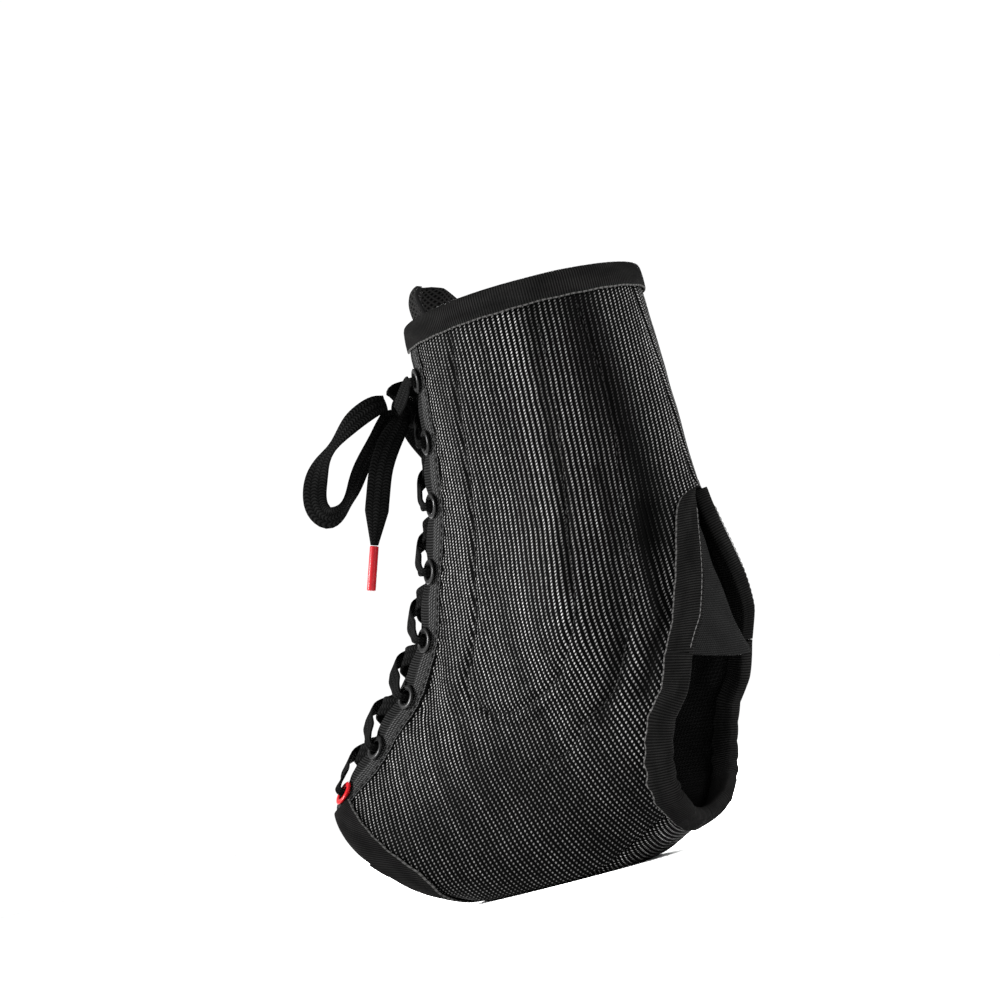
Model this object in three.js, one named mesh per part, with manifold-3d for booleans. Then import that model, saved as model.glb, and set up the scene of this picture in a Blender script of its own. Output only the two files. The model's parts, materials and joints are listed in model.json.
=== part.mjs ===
// Lace-up ankle brace, standing on its sole. Millimetres, +Z up, toes towards -Y, heel towards +Y.
// The origin is on the flat patch of the sole that the brace stands on.
import * as THREE from 'three';
import { mergeVertices } from 'three/addons/utils/BufferGeometryUtils.js';
import Module from 'manifold-3d';

const wasm = await Module();
wasm.setup();

// Overall sizes
const HEIGHT = 216; // floor to the top edge
const DEPTH = 186; // from the foot edge at the instep to the heel
const LEG_WIDTH = 83; // across the top edge
const MALLEOLUS_RISE = 5; // how far the ankle bone bulges each side
const SOLE_BLEND = 2.5; // height over which the sole runs into its flat patch

// Cloth, tape and padding
const WALL = 2.4; // padded side panel
const SOLE_WALL = 2.4;
const FACING_WALL = 2.7; // reinforced strip that carries the eyelets
const TAPE = 0.8; // ribbed binding tape
const TAPE_WIDTH = 9.2;
const CLEAR = 0.35; // gap between neighbouring pieces
const CURVE_SLACK = 0.2; // extra room where two curved layers lie on each other
const TONGUE_THICK = 3;
const GUSSET_THICK = 1.3;
const LACE_WIDTH = 7.4;
const LACE_THICK = 1.1;
const LACE_GATHERED = 3.4; // width of the lace where it is drawn through an eyelet
const LACE_BUNCHED = 1.9; // its thickness there

// Front opening and eyelets
const GAP_HALF_TOP = 15; // from the front line to the facing's edge, along the surface
const GAP_HALF_FOOT = 11.5;
const FACING_WIDTH = 15;
const EYELET_INSET = 7; // from the facing's edge to the eyelet's centre
const EYELET_RADIUS = 4.9;
const EYELET_BORE = 2.4;
const EYELET_BARREL = 2.9;
const EYELET_RIM = 1.1; // how far the flange stands off the facing

// Heel opening, tongue, bow
const HEEL_FLARE = 5.5; // how far the edges of the heel opening stand outwards
const SEAM_FROM_CENTRE = 24; // sole centre to the seam between sole and side
const TONGUE_HALF_WIDTH = 27;
const TONGUE_ABOVE_RIM = 15;
const TONGUE_LEAN = 5; // how far the free top of the tongue leans forward
const KNOT_SIZE = [15, 10, 13];
const CORD_WIDTH = 9.5;
const CORD_THICK = 1.6;
const AGLET_LENGTH = 17;
const AGLET_RADIUS = 1.7;

// Sections down the leg and round the heel to the foot, as shares: front and back point
// (y of DEPTH, z of HEIGHT), half width (of LEG_WIDTH / 2), place of the widest point from the
// front, and roundness of the front and of the back.
const SECTION_COLUMNS = ['frontY', 'frontZ', 'backY', 'backZ', 'half', 'widest', 'roundFront', 'roundBack'];
const SECTIONS = [
  [-0.051, 1.000, 0.438, 0.995, 1.000, 0.50, 1.85, 2.00],
  [-0.072, 0.866, 0.446, 0.840, 0.940, 0.50, 1.80, 2.00],
  [-0.103, 0.755, 0.452, 0.720, 0.892, 0.52, 1.75, 1.90],
  [-0.141, 0.650, 0.454, 0.604, 0.867, 0.55, 1.70, 1.80],
  [-0.188, 0.558, 0.462, 0.484, 0.916, 0.58, 1.65, 1.75],
  [-0.226, 0.495, 0.481, 0.343, 0.916, 0.60, 1.60, 1.85],
  [-0.271, 0.444, 0.508, 0.208, 0.892, 0.60, 1.60, 2.10],
  [-0.320, 0.400, 0.465, 0.088, 0.867, 0.60, 1.60, 2.30],
  [-0.368, 0.361, 0.290, 0.046, 0.892, 0.60, 1.60, 2.40],
  [-0.411, 0.319, 0.091, -0.019, 0.916, 0.58, 1.60, 2.50],
  [-0.452, 0.280, -0.118, -0.021, 0.940, 0.56, 1.65, 2.50],
  [-0.489, 0.238, -0.245, 0.020, 0.964, 0.55, 1.70, 2.50],
];
const LAST = SECTIONS.length - 1;

// Folds and dents of the cloth: place along the limb (in sections), place round it (share from
// front to back), reach each way, and rise in mm (negative for a valley).
const FOLD_COLUMNS = ['along', 'round', 'reachAlong', 'reachRound', 'rise'];
const FOLDS = [
  [4.3, 0.80, 0.8, 0.030, -1.3],
  [4.8, 0.735, 0.9, 0.035, 1.2],
  [5.0, 0.665, 1.0, 0.030, -1.2],
  [1.4, 0.640, 1.3, 0.030, 0.9],
  [1.6, 0.750, 1.6, 0.060, -1.0],
  [6.3, 0.230, 0.8, 0.035, 1.4],
  [6.6, 0.160, 0.8, 0.030, -1.0],
  [8.4, 0.560, 0.9, 0.080, -0.9],
];

// Edge of the heel opening: place along the limb, and distance from the back centre line as a
// share of LEG_WIDTH.
const HEEL_EDGE = [
  [3.10, 0.006], [3.14, 0.040], [3.25, 0.064], [3.50, 0.086], [4.00, 0.148], [4.40, 0.205],
  [4.90, 0.288], [5.40, 0.402], [5.90, 0.492], [6.30, 0.578], [6.60, 0.600], [6.90, 0.585],
  [7.20, 0.518], [7.50, 0.398], [7.68, 0.289],
];
const HEEL_END = HEEL_EDGE[HEEL_EDGE.length - 1][0];
const FLAP_SPLIT = 5.35; // place along the limb where upper and lower tapes of the opening meet
const SOLE_BACK = 7.95; // place of the sole's rear edge at the centre

// Eyelets from the top down, as places along the limb
const EYELET_ROWS = [0.70, 1.60, 2.60, 3.70, 5.25, 6.90, 8.60, 10.30];

const lerp = (a, b, t) => a + (b - a) * t;
const clamp = (x, lo, hi) => Math.min(Math.max(x, lo), hi);

// Value of a hand-made table of [place, value] rows at a place
function tableAt(table, place) {
  if (place <= table[0][0]) return table[0][1];
  for (let i = 1; i < table.length; i += 1) {
    if (place <= table[i][0]) {
      const t = (place - table[i - 1][0]) / (table[i][0] - table[i - 1][0]);
      return lerp(table[i - 1][1], table[i][1], t);
    }
  }
  return table[table.length - 1][1];
}

// One section's numbers at any place v along the limb, by a smooth curve through the table
function sectionAt(v) {
  const row = (i) => SECTIONS[clamp(i, 0, LAST)];
  const out = {};
  const i = clamp(Math.floor(v), 0, LAST - 1);
  const f = v - i;
  SECTION_COLUMNS.forEach((name, k) => {
    const p1 = row(i)[k];
    const p2 = row(i + 1)[k];
    const p0 = i === 0 ? 2 * p1 - p2 : row(i - 1)[k];
    const p3 = i === LAST - 1 ? 2 * p2 - p1 : row(i + 2)[k];
    if (f < 0) out[name] = p1 + (p2 - p1) * f;
    else if (f > 1) out[name] = p2 + (p2 - p1) * (f - 1);
    else {
      out[name] = p0 * (-0.5 * f + f * f - 0.5 * f ** 3) + p1 * (1 - 2.5 * f * f + 1.5 * f ** 3)
        + p2 * (0.5 * f + 2 * f * f - 1.5 * f ** 3) + p3 * (-0.5 * f * f + 0.5 * f ** 3);
    }
  });
  return out;
}

// Heights below the floor are pressed flat, with a short blend above it
function pressed(z) {
  if (z <= -SOLE_BLEND) return 0;
  if (z >= SOLE_BLEND) return z;
  return (z + SOLE_BLEND) ** 2 / (4 * SOLE_BLEND);
}

// Half outline of the section at v, from the front point round the +X side to the back point
const OUTLINE_STEPS = 160;
const outlineCache = new Map();
function outline(v) {
  const key = v.toFixed(5);
  if (outlineCache.has(key)) return outlineCache.get(key);
  const s = sectionAt(v);
  const pts = [];
  const run = [0];
  const boneY = DEPTH * 0.21;
  const boneZ = HEIGHT * 0.426;
  const boneReach = HEIGHT * 0.093;
  for (let k = 0; k <= OUTLINE_STEPS; k += 1) {
    const a = (Math.PI * k) / OUTLINE_STEPS;
    const c = Math.cos(a);
    const e = c > 0 ? s.roundFront : s.roundBack;
    const along = Math.sign(c) * Math.abs(c) ** (2 / e);
    const across = Math.max(Math.sin(a), 0) ** (2 / e);
    const t = c > 0 ? s.widest - s.widest * along : s.widest - (1 - s.widest) * along;
    const y = DEPTH * lerp(s.frontY, s.backY, t);
    const z = pressed(HEIGHT * lerp(s.frontZ, s.backZ, t));
    let x = (LEG_WIDTH / 2) * s.half * across;
    const far = ((y - boneY) ** 2 + (z - boneZ) ** 2) / boneReach ** 2;
    x += MALLEOLUS_RISE * Math.exp(-far) * Math.min(1, x / (LEG_WIDTH * 0.3));
    pts.push(new THREE.Vector3(x, y, z));
    if (k > 0) run.push(run[k - 1] + pts[k].distanceTo(pts[k - 1]));
  }
  const found = { pts, run, length: run[OUTLINE_STEPS] };
  outlineCache.set(key, found);
  return found;
}

// Point of the smooth body at place v along the limb and u mm round it from the front line
// (positive on the +X side); u past the back line comes out on the other side
function bodyPoint(v, u) {
  const o = outline(v);
  let d = Math.abs(u);
  let side = u < 0 ? -1 : 1;
  if (d > o.length) {
    d = 2 * o.length - d;
    side = -side;
  }
  let lo = 0;
  let hi = OUTLINE_STEPS;
  while (hi - lo > 1) {
    const mid = (lo + hi) >> 1;
    if (o.run[mid] <= d) lo = mid;
    else hi = mid;
  }
  const t = (d - o.run[lo]) / (o.run[hi] - o.run[lo]);
  const p = o.pts[lo].clone().lerp(o.pts[hi], t);
  p.x *= side;
  return p;
}

function normalOf(pointAt, v, u) {
  const dv = pointAt(v + 0.04, u).sub(pointAt(v - 0.04, u));
  const du = pointAt(v, u + 1.2).sub(pointAt(v, u - 1.2));
  return dv.cross(du).normalize();
}

// How far folds and the flared heel edge lift the cloth off the smooth body
function relief(v, u) {
  const length = outline(v).length;
  const round = Math.abs(u) / length;
  let rise = 0;
  for (const row of FOLDS) {
    const f = Object.fromEntries(FOLD_COLUMNS.map((name, k) => [name, row[k]]));
    rise += f.rise * Math.exp(-(((v - f.along) / f.reachAlong) ** 2) - ((round - f.round) / f.reachRound) ** 2);
  }
  const toEdge = length - Math.abs(u) - LEG_WIDTH * tableAt(HEEL_EDGE, v);
  const window = Math.exp(-(((v - 4.55) / 0.95) ** 2));
  rise += HEEL_FLARE * window * Math.exp(-((Math.max(toEdge, -4) / 11) ** 2));
  return rise;
}

function clothPoint(v, u) {
  const lift = v > 0 && v < LAST ? relief(v, u) : 0;
  const p = bodyPoint(v, u);
  if (Math.abs(lift) < 0.02) return p;
  const q = p.clone().addScaledVector(normalOf(bodyPoint, v, u), lift);
  q.z = Math.max(q.z, 0);
  return q;
}

// Point n mm off the outer face of the cloth
const skin = (v, u, n) => clothPoint(v, u).addScaledVector(normalOf(clothPoint, v, u), n);
// The same off the smooth body, for what lies under the panels
const under = (v, u, n) => bodyPoint(v, u).addScaledVector(normalOf(bodyPoint, v, u), n);

// Mesh helpers
function meshOf(name, positions, triangles, material) {
  let volume = 0;
  for (let i = 0; i < triangles.length; i += 3) {
    const [a, b, c] = [0, 1, 2].map((k) => positions[triangles[i + k]]);
    volume += a.dot(b.clone().cross(c));
  }
  const order = volume < 0 ? [0, 2, 1] : [0, 1, 2];
  const index = [];
  for (let i = 0; i < triangles.length; i += 3) order.forEach((k) => index.push(triangles[i + k]));
  const geometry = new THREE.BufferGeometry();
  geometry.setAttribute('position', new THREE.Float32BufferAttribute(positions.flatMap((p) => [p.x, p.y, p.z]), 3));
  geometry.setIndex(index);
  geometry.computeVertexNormals();
  const mesh = new THREE.Mesh(geometry, material);
  mesh.name = name;
  return mesh;
}

// A sheet with thickness: two grids of points, outer and inner, closed along their four edges
function slab(name, outer, inner, material) {
  const rows = outer.length;
  const cols = outer[0].length;
  const positions = [...outer.flat(), ...inner.flat()];
  const at = (i, j, layer) => layer * rows * cols + i * cols + j;
  const tri = [];
  const quad = (a, b, c, d) => tri.push(a, b, c, a, c, d);
  for (let i = 0; i < rows - 1; i += 1) {
    for (let j = 0; j < cols - 1; j += 1) {
      quad(at(i, j, 0), at(i + 1, j, 0), at(i + 1, j + 1, 0), at(i, j + 1, 0));
      quad(at(i, j, 1), at(i, j + 1, 1), at(i + 1, j + 1, 1), at(i + 1, j, 1));
    }
    quad(at(i, 0, 0), at(i, 0, 1), at(i + 1, 0, 1), at(i + 1, 0, 0));
    quad(at(i, cols - 1, 0), at(i + 1, cols - 1, 0), at(i + 1, cols - 1, 1), at(i, cols - 1, 1));
  }
  for (let j = 0; j < cols - 1; j += 1) {
    quad(at(0, j, 0), at(0, j + 1, 0), at(0, j + 1, 1), at(0, j, 1));
    quad(at(rows - 1, j, 0), at(rows - 1, j, 1), at(rows - 1, j + 1, 1), at(rows - 1, j + 1, 0));
  }
  return meshOf(name, positions, tri, material);
}

// A closed section carried along rings of points, with flat ends
function sweep(name, rings, flat, material) {
  const m = rings[0].length;
  const positions = rings.flat();
  const tri = [];
  for (let i = 0; i < rings.length - 1; i += 1) {
    for (let k = 0; k < m; k += 1) {
      const a = i * m + k;
      const b = i * m + ((k + 1) % m);
      tri.push(a, b, b + m, a, b + m, a + m);
    }
  }
  const cap = THREE.ShapeUtils.triangulateShape(flat.map(([x, y]) => new THREE.Vector2(x, y)), []);
  const last = (rings.length - 1) * m;
  const area = THREE.ShapeUtils.area(flat.map(([x, y]) => new THREE.Vector2(x, y)));
  for (const [a, b, c] of cap) {
    if (area > 0) tri.push(c, b, a, last + a, last + b, last + c);
    else tri.push(a, b, c, last + c, last + b, last + a);
  }
  return meshOf(name, positions, tri, material);
}

function mirrored(mesh, name) {
  const geometry = mesh.geometry.clone();
  const p = geometry.attributes.position;
  for (let i = 0; i < p.count; i += 1) p.setX(i, -p.getX(i));
  const index = geometry.index.array;
  for (let i = 0; i < index.length; i += 3) [index[i + 1], index[i + 2]] = [index[i + 2], index[i + 1]];
  geometry.computeVertexNormals();
  const out = new THREE.Mesh(geometry, mesh.material.clone());
  out.name = name;
  return out;
}

function solidOf(geometry) {
  const bare = geometry.clone();
  bare.deleteAttribute('normal');
  bare.deleteAttribute('uv');
  const merged = mergeVertices(bare, 1e-4);
  return new wasm.Manifold(new wasm.Mesh({
    numProp: 3,
    vertProperties: new Float32Array(merged.attributes.position.array),
    triVerts: new Uint32Array(merged.index.array),
  }));
}

function meshFromSolid(name, solid, material) {
  const data = solid.getMesh();
  const geometry = new THREE.BufferGeometry();
  geometry.setAttribute('position', new THREE.BufferAttribute(data.vertProperties.slice(), 3));
  geometry.setIndex(new THREE.BufferAttribute(data.triVerts.slice(), 1));
  geometry.computeVertexNormals();
  const mesh = new THREE.Mesh(geometry, material);
  mesh.name = name;
  return mesh;
}

// Materials
const paint = (color, roughness, metalness = 0) => new THREE.MeshStandardMaterial({ color, roughness, metalness });
const weave = () => paint(0x26272a, 0.78);
const tapeCloth = () => paint(0x17181a, 0.85);
const knit = () => paint(0x2e2f32, 0.9);
const laceCloth = () => paint(0x1b1b1d, 0.8);
const blackMetal = () => paint(0x0c0c0d, 0.3, 0.4);
const redMetal = () => paint(0xb8141c, 0.35, 0.2);
const redPlastic = () => paint(0xc8202a, 0.4);

const group = new THREE.Group();
const add = (mesh) => {
  group.add(mesh);
  return mesh;
};

// Places of the edges that pieces share
const facingEdge = (v) => lerp(GAP_HALF_TOP, GAP_HALF_FOOT, clamp(v / LAST, 0, 1));
const panelFront = (v) => facingEdge(v) + FACING_WIDTH + CLEAR;
const speedAt = (v, u) => bodyPoint(v + 0.04, u).distanceTo(bodyPoint(v - 0.04, u)) / 0.08;
const EDGE_INSET = TAPE + CLEAR;
const seamAt = (v) => outline(v).length - SEAM_FROM_CENTRE;

// Where the side panel ends at the back, at each place along the limb
function panelBack(v) {
  const length = outline(v).length;
  if (v < HEEL_EDGE[0][0]) return length - CLEAR / 2;
  if (v < HEEL_END + 0.04) return length - LEG_WIDTH * tableAt(HEEL_EDGE, v) - EDGE_INSET;
  return seamAt(v) - CLEAR / 2;
}

// Row places of the side panel, closer where its outline turns
const vTop = EDGE_INSET / speedAt(0, LEG_WIDTH * 0.6);
const footInset = (u) => EDGE_INSET / speedAt(LAST, u);
const PANEL_ROWS = [vTop, 0.45, 1.10, 1.80, 2.45, 2.92, 3.07, 3.13, 3.17, 3.25, 3.50, 3.75, 4.00,
  4.40, 4.90, 5.40, 5.90, 6.30, 6.60, 6.90, 7.20, 7.50, HEEL_END + 0.02, HEEL_END + 0.06, 8.00, 8.50, 9.10,
  9.70, 10.30, LAST];
const PANEL_SHARES = [0, 0.13, 0.27, 0.41, 0.55, 0.67, 0.77, 0.86, 0.93, 0.97, 1];

function panelGrid(n) {
  return PANEL_ROWS.map((row) => PANEL_SHARES.map((share) => {
    let u = lerp(panelFront(row), panelBack(row), share);
    let v = row;
    if (row === LAST) {
      v = LAST - footInset(u);
      u = lerp(panelFront(v), panelBack(v), share);
    }
    return skin(v, u, n);
  }));
}
const panel = add(slab('side_panel_left', panelGrid(0), panelGrid(-WALL), weave()));
add(mirrored(panel, 'side_panel_right'));

// Sole piece between the two seams, from its rear edge to the foot edge
const SOLE_SHARES = [-1, -0.8, -0.5, -0.2, 0.2, 0.5, 0.8, 1];
const SOLE_ROWS = [0, 0.06, 0.16, 0.28, 0.42, 0.56, 0.70, 0.84, 1];
const soleRear = (share) => lerp(SOLE_BACK, HEEL_END, Math.abs(share) ** 2.2);
function soleGrid(n) {
  return SOLE_ROWS.map((row) => SOLE_SHARES.map((share) => {
    const back = share * (SEAM_FROM_CENTRE - CLEAR / 2);
    const length0 = outline(SOLE_BACK).length;
    const from = soleRear(share) + EDGE_INSET / speedAt(soleRear(share), length0 - Math.abs(back));
    const to = LAST - footInset(outline(LAST).length - Math.abs(back));
    const v = lerp(from, to, row);
    return skin(v, outline(v).length - back, n);
  }));
}
add(slab('sole_panel', soleGrid(0), soleGrid(-SOLE_WALL), weave()));

// Facing strips with their eyelets. The flange of each eyelet seats on the facing and its barrel
// passes through the hole.
const eyeletU = (v) => facingEdge(v) + EYELET_INSET;
const FACING_ROWS = [vTop, 0.70, 1.30, 2.00, 2.60, 3.30, 3.95, 4.60, 5.25, 6.05, 6.90, 7.50, 8.20, 9.00, 9.80,
  10.45, LAST];
const FACING_SHARES = [0, 0.47, 1];
function facingGrid(n) {
  return FACING_ROWS.map((row) => FACING_SHARES.map((share) => {
    const u = facingEdge(row) + FACING_WIDTH * share;
    const v = row === LAST ? LAST - footInset(u) : row;
    return under(v, u, n);
  }));
}
const facingRise = FACING_WALL - WALL;
const facing = slab('eyelet_facing_left', facingGrid(facingRise), facingGrid(-WALL), tapeCloth());
const along = new THREE.Vector3(0, 1, 0);
const seats = EYELET_ROWS.map((v) => {
  const u = eyeletU(v);
  const normal = normalOf(bodyPoint, v, u);
  return { v, u, normal, centre: under(v, u, facingRise), turn: new THREE.Quaternion().setFromUnitVectors(along, normal) };
});
let facingSolid = solidOf(facing.geometry);
for (const seat of seats) {
  const drill = new THREE.CylinderGeometry(EYELET_BARREL + CLEAR, EYELET_BARREL + CLEAR, 6 * FACING_WALL, 8);
  drill.applyQuaternion(seat.turn);
  drill.translate(seat.centre.x, seat.centre.y, seat.centre.z);
  facingSolid = facingSolid.subtract(solidOf(drill));
}
const facingCut = add(meshFromSolid('eyelet_facing_left', facingSolid, tapeCloth()));
add(mirrored(facingCut, 'eyelet_facing_right'));

const eyeletProfile = [
  [EYELET_BORE, -FACING_WALL - CLEAR], [EYELET_BARREL, -FACING_WALL - CLEAR], [EYELET_BARREL, CLEAR],
  [EYELET_RADIUS, CLEAR], [EYELET_RADIUS * 0.86, CLEAR + EYELET_RIM], [EYELET_BORE * 1.12, CLEAR + EYELET_RIM * 0.9],
];
function eyelet(name, seat, side, material) {
  const pts = [...eyeletProfile, eyeletProfile[0]].map(([r, y]) => new THREE.Vector2(r, y));
  const geometry = new THREE.LatheGeometry(pts, 8);
  geometry.applyQuaternion(seat.turn);
  geometry.translate(seat.centre.x, seat.centre.y, seat.centre.z);
  const bare = geometry.clone();
  bare.deleteAttribute('normal');
  bare.deleteAttribute('uv');
  const merged = mergeVertices(bare, 1e-4);
  merged.computeVertexNormals();
  const mesh = new THREE.Mesh(merged, material);
  mesh.name = name;
  return side < 0 ? mirrored(mesh, name) : mesh;
}
seats.forEach((seat, i) => {
  const material = () => (i === seats.length - 1 ? redMetal() : blackMetal());
  add(eyelet(`eyelet_left_${seats.length - i}`, seat, 1, material()));
  add(eyelet(`eyelet_right_${seats.length - i}`, seat, -1, material()));
});

// Binding tape: a U-shaped section folded over an edge. Each ring starts at the edge point (v, u)
// and runs inwards along the surface in the direction (dv, du) per millimetre.
function tapeSection(wall, onto) {
  const out = onto + CLEAR + TAPE;
  const inn = -wall - CLEAR - CURVE_SLACK;
  const w = TAPE_WIDTH;
  return [
    [w, out], [w / 2, out], [0, out], [0, inn - TAPE], [w / 2, inn - TAPE], [w * 0.9, inn - TAPE],
    [w * 0.9, inn], [w / 2, inn], [TAPE, inn], [TAPE, onto + CLEAR], [w / 2, onto + CLEAR], [w, onto + CLEAR],
  ];
}
function tape(name, places, section, pointAt = skin) {
  const rings = places.map(({ v, u, dv, du }) => section.map(([d, n]) => pointAt(v + dv * d, u + du * d, n)));
  return sweep(name, rings, section, tapeCloth());
}

// Direction into the cloth from the edge at (v, u), square to the edge's run (tv, tu)
function inward(v, u, tv, tu, sign) {
  const e = speedAt(v, u);
  const run = new THREE.Vector2(tv * e, tu).normalize();
  const into = new THREE.Vector2(-run.y, run.x).multiplyScalar(sign);
  return { dv: into.x / e, du: into.y };
}

// Round the top edge, open at the front between the facings
const rimU = [];
rimU.push(facingEdge(0), facingEdge(0) + FACING_WIDTH / 2);
PANEL_SHARES.slice(0, -1).forEach((share) => rimU.push(lerp(panelFront(vTop), panelBack(vTop), share)));
const backLine = outline(0).length;
const rimPlaces = [...rimU, backLine, ...[...rimU].reverse().map((u) => -u)]
  .map((u) => ({ v: 0, u, dv: 1 / speedAt(0, u), du: 0 }));
const wrapU = (u, length) => (u < 0 ? 2 * length + u : u);
const rimUnwrapped = rimPlaces.map((p) => ({ ...p, u: wrapU(p.u, backLine) }));
add(tape('rim_binding', rimUnwrapped, tapeSection(WALL, facingRise)));

// Round the foot edge, under the sole, open at the front
const footLength = outline(LAST).length;
const footU = [facingEdge(LAST) + EYELET_INSET + EYELET_RADIUS + 2 * CLEAR];
PANEL_SHARES.forEach((share) => footU.push(lerp(panelFront(LAST), seamAt(LAST), share)));
footU.push(footLength - 0.6 * SEAM_FROM_CENTRE, footLength - 0.3 * SEAM_FROM_CENTRE, footLength);
const footPlaces = [...footU, ...footU.slice(0, -1).reverse().map((u) => 2 * footLength - u)]
  .map((u) => ({ v: LAST, u, dv: -1 / speedAt(LAST, u), du: 0 }));
const footSkin = (v, u, n) => {
  const shift = outline(v).length - footLength;
  return skin(v, u > footLength ? u + 2 * shift : u, n);
};
const footTape = (v, u, n) => {
  const share = Math.min(u, 2 * footLength - u) / footLength;
  const here = outline(v).length;
  const inBack = share > seamAt(LAST) / footLength;
  const d = inBack ? here - (footLength - share * footLength) : lerp(facingEdge(v), seamAt(v),
    (share * footLength - facingEdge(LAST)) / (seamAt(LAST) - facingEdge(LAST)));
  const p = skin(v, u > footLength ? 2 * here - d : d, n);
  return p;
};
add(tape('foot_binding', footPlaces, tapeSection(WALL, facingRise), footTape));

// Heel opening: one upper tape each side, and one lower tape round under the heel
function heelPlace(v) {
  const edge = (w) => outline(w).length - LEG_WIDTH * tableAt(HEEL_EDGE, w);
  const e = 0.04;
  const u = edge(v);
  return { v, u, ...inward(v, u, 2 * e, edge(v + e) - edge(v - e), -1) };
}
const heelSection = tapeSection(WALL + CURVE_SLACK, 2 * CURVE_SLACK);
// The upper tapes run straight down the flaps, with their tops rounded off
const UPPER_ROWS = [[3.17, 0.35], [3.21, 0.72], [3.25, 0.93], [3.50, 1], [3.75, 1], [4.00, 1], [4.40, 1],
  [4.90, 1], [5.20, 1], [FLAP_SPLIT - 0.11, 1]];
const flapRings = UPPER_ROWS.map(([v, share]) => heelSection.map(([d, n]) => {
  const u = outline(v).length - LEG_WIDTH * tableAt(HEEL_EDGE, v);
  return skin(v, u - (d > TAPE ? Math.max(d * share, 1.5 * TAPE) : d), n);
}));
const flap = add(sweep('gusset_binding_left', flapRings, heelSection, tapeCloth()));
add(mirrored(flap, 'gusset_binding_right'));

const lowerRows = [FLAP_SPLIT, 5.60, 5.90, 6.15, 6.40, 6.65, 6.90, 7.15, 7.35, 7.52];
const solePlace = (share) => {
  const v = soleRear(share);
  const length = outline(v).length;
  const e = 0.04;
  const back = (s) => s * SEAM_FROM_CENTRE;
  const tv = soleRear(share + e) - soleRear(share - e);
  return { v, u: length - back(share), ...inward(v, length - back(share), -tv, back(2 * e), -1) };
};
const nearSide = lowerRows.map(heelPlace);
const across = [0.82, 0.6, 0.35, 0.12].map(solePlace);
const heelRings = [...nearSide, ...across].map((p) => heelSection.map(([d, n]) => skin(p.v + p.dv * d, p.u + p.du * d, n)));
const farRings = [...heelRings].reverse().map((ring) => ring.map((p) => new THREE.Vector3(-p.x, p.y, p.z)));
add(sweep('heel_binding', [...heelRings, ...farRings], heelSection, tapeCloth()));

// Knit gusset behind the Achilles tendon, set in under the edges of the opening
const GUSSET_ROWS = [2.85, 3.1, 3.4, 3.75, 4.1, 4.5, 4.9, 5.3];
const GUSSET_SHARES = [-1, -0.75, -0.5, -0.25, 0, 0.25, 0.5, 0.75, 1];
function gussetGrid(n) {
  return GUSSET_ROWS.map((v) => GUSSET_SHARES.map((share) => {
    const half = LEG_WIDTH * tableAt(HEEL_EDGE, v) + TAPE_WIDTH * 0.9;
    return under(v, outline(v).length - share * half, n);
  }));
}
const gussetOut = -WALL - TAPE - 3 * CLEAR;
add(slab('heel_gusset', gussetGrid(gussetOut), gussetGrid(gussetOut - GUSSET_THICK), knit()));

// Padded tongue under the facings, rounded at the free top
const laceRoom = LACE_BUNCHED / 2 + LACE_THICK / 2 + 3 * CLEAR;
const tongueUnder = -WALL - laceRoom - CLEAR - TAPE;
const tongueCentre = -1.4;
const topShare = TONGUE_ABOVE_RIM / speedAt(0, 0);
const TONGUE_ROWS = [-topShare, -topShare * 0.8, -topShare * 0.5, -topShare * 0.2, 0.2, 0.7, 1.3, 2.0, 2.8,
  3.6, 4.4, 5.2, 6.0, 6.8, 7.6, 8.5, 9.4, 10.2, LAST - 0.35];
const TONGUE_SHARES = [-1, -0.72, -0.46, -0.22, 0, 0.22, 0.46, 0.72, 1];
// The padding rounds off the front line of the body
const TONGUE_SOFT = 6;
const tongueSkin = (v, u, n) => [-1, -0.5, 0, 0.5, 1]
  .reduce((sum, k) => sum.add(under(v, u + k * TONGUE_SOFT, n)), new THREE.Vector3()).divideScalar(5);
function tongueGrid(inner) {
  return TONGUE_ROWS.map((v) => TONGUE_SHARES.map((share) => {
    const above = clamp(-v / topShare, 0, 1);
    const half = TONGUE_HALF_WIDTH * Math.sqrt(1 - 0.72 * above ** 3);
    const u = share * half;
    const edge = facingEdge(v);
    const k = clamp(1 - (Math.abs(u) / (edge - 3)) ** 2, 0, 1);
    const n = lerp(tongueUnder, tongueCentre, k) - (inner ? TONGUE_THICK : 0);
    const p = tongueSkin(v, u, n);
    p.y -= TONGUE_LEAN * above;
    return p;
  }));
}
add(slab('tongue', tongueGrid(false), tongueGrid(true), weave()));

// Lacing: a bar behind the lowest eyelets, then a strand from each eyelet over the facing's edge,
// across the tongue and under the other facing to the next eyelet up
const LACE_FLAT = [[0.5, 0], [0.34, -0.5], [-0.34, -0.5], [-0.5, 0], [-0.34, 0.5], [0.34, 0.5]];
function laceRing(p, tangent, width, thick, wide) {
  const t = tangent.clone().normalize();
  const w = wide.clone().addScaledVector(t, -wide.dot(t)).normalize();
  const h = new THREE.Vector3().crossVectors(t, w);
  return LACE_FLAT.map(([a, b]) => p.clone().addScaledVector(w, a * width).addScaledVector(h, b * thick));
}
function laceThrough(name, stations) {
  const pts = stations.map((s) => under(s.v, s.u, s.n));
  const rings = stations.map((s, i) => {
    const tangent = pts[Math.min(i + 1, pts.length - 1)].clone().sub(pts[Math.max(i - 1, 0)]);
    const wide = bodyPoint(s.v - 0.05, s.u).sub(bodyPoint(s.v + 0.05, s.u));
    return laceRing(pts[i], tangent, s.width, s.thick, wide);
  });
  return sweep(name, rings, LACE_FLAT, laceCloth());
}
const overFlange = facingRise + CLEAR + EYELET_RIM + CLEAR + LACE_BUNCHED / 2;
const underFacing = -WALL - 2 * CLEAR - LACE_BUNCHED / 2 - 0.15;
const g = { width: LACE_GATHERED, thick: LACE_BUNCHED };
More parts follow.
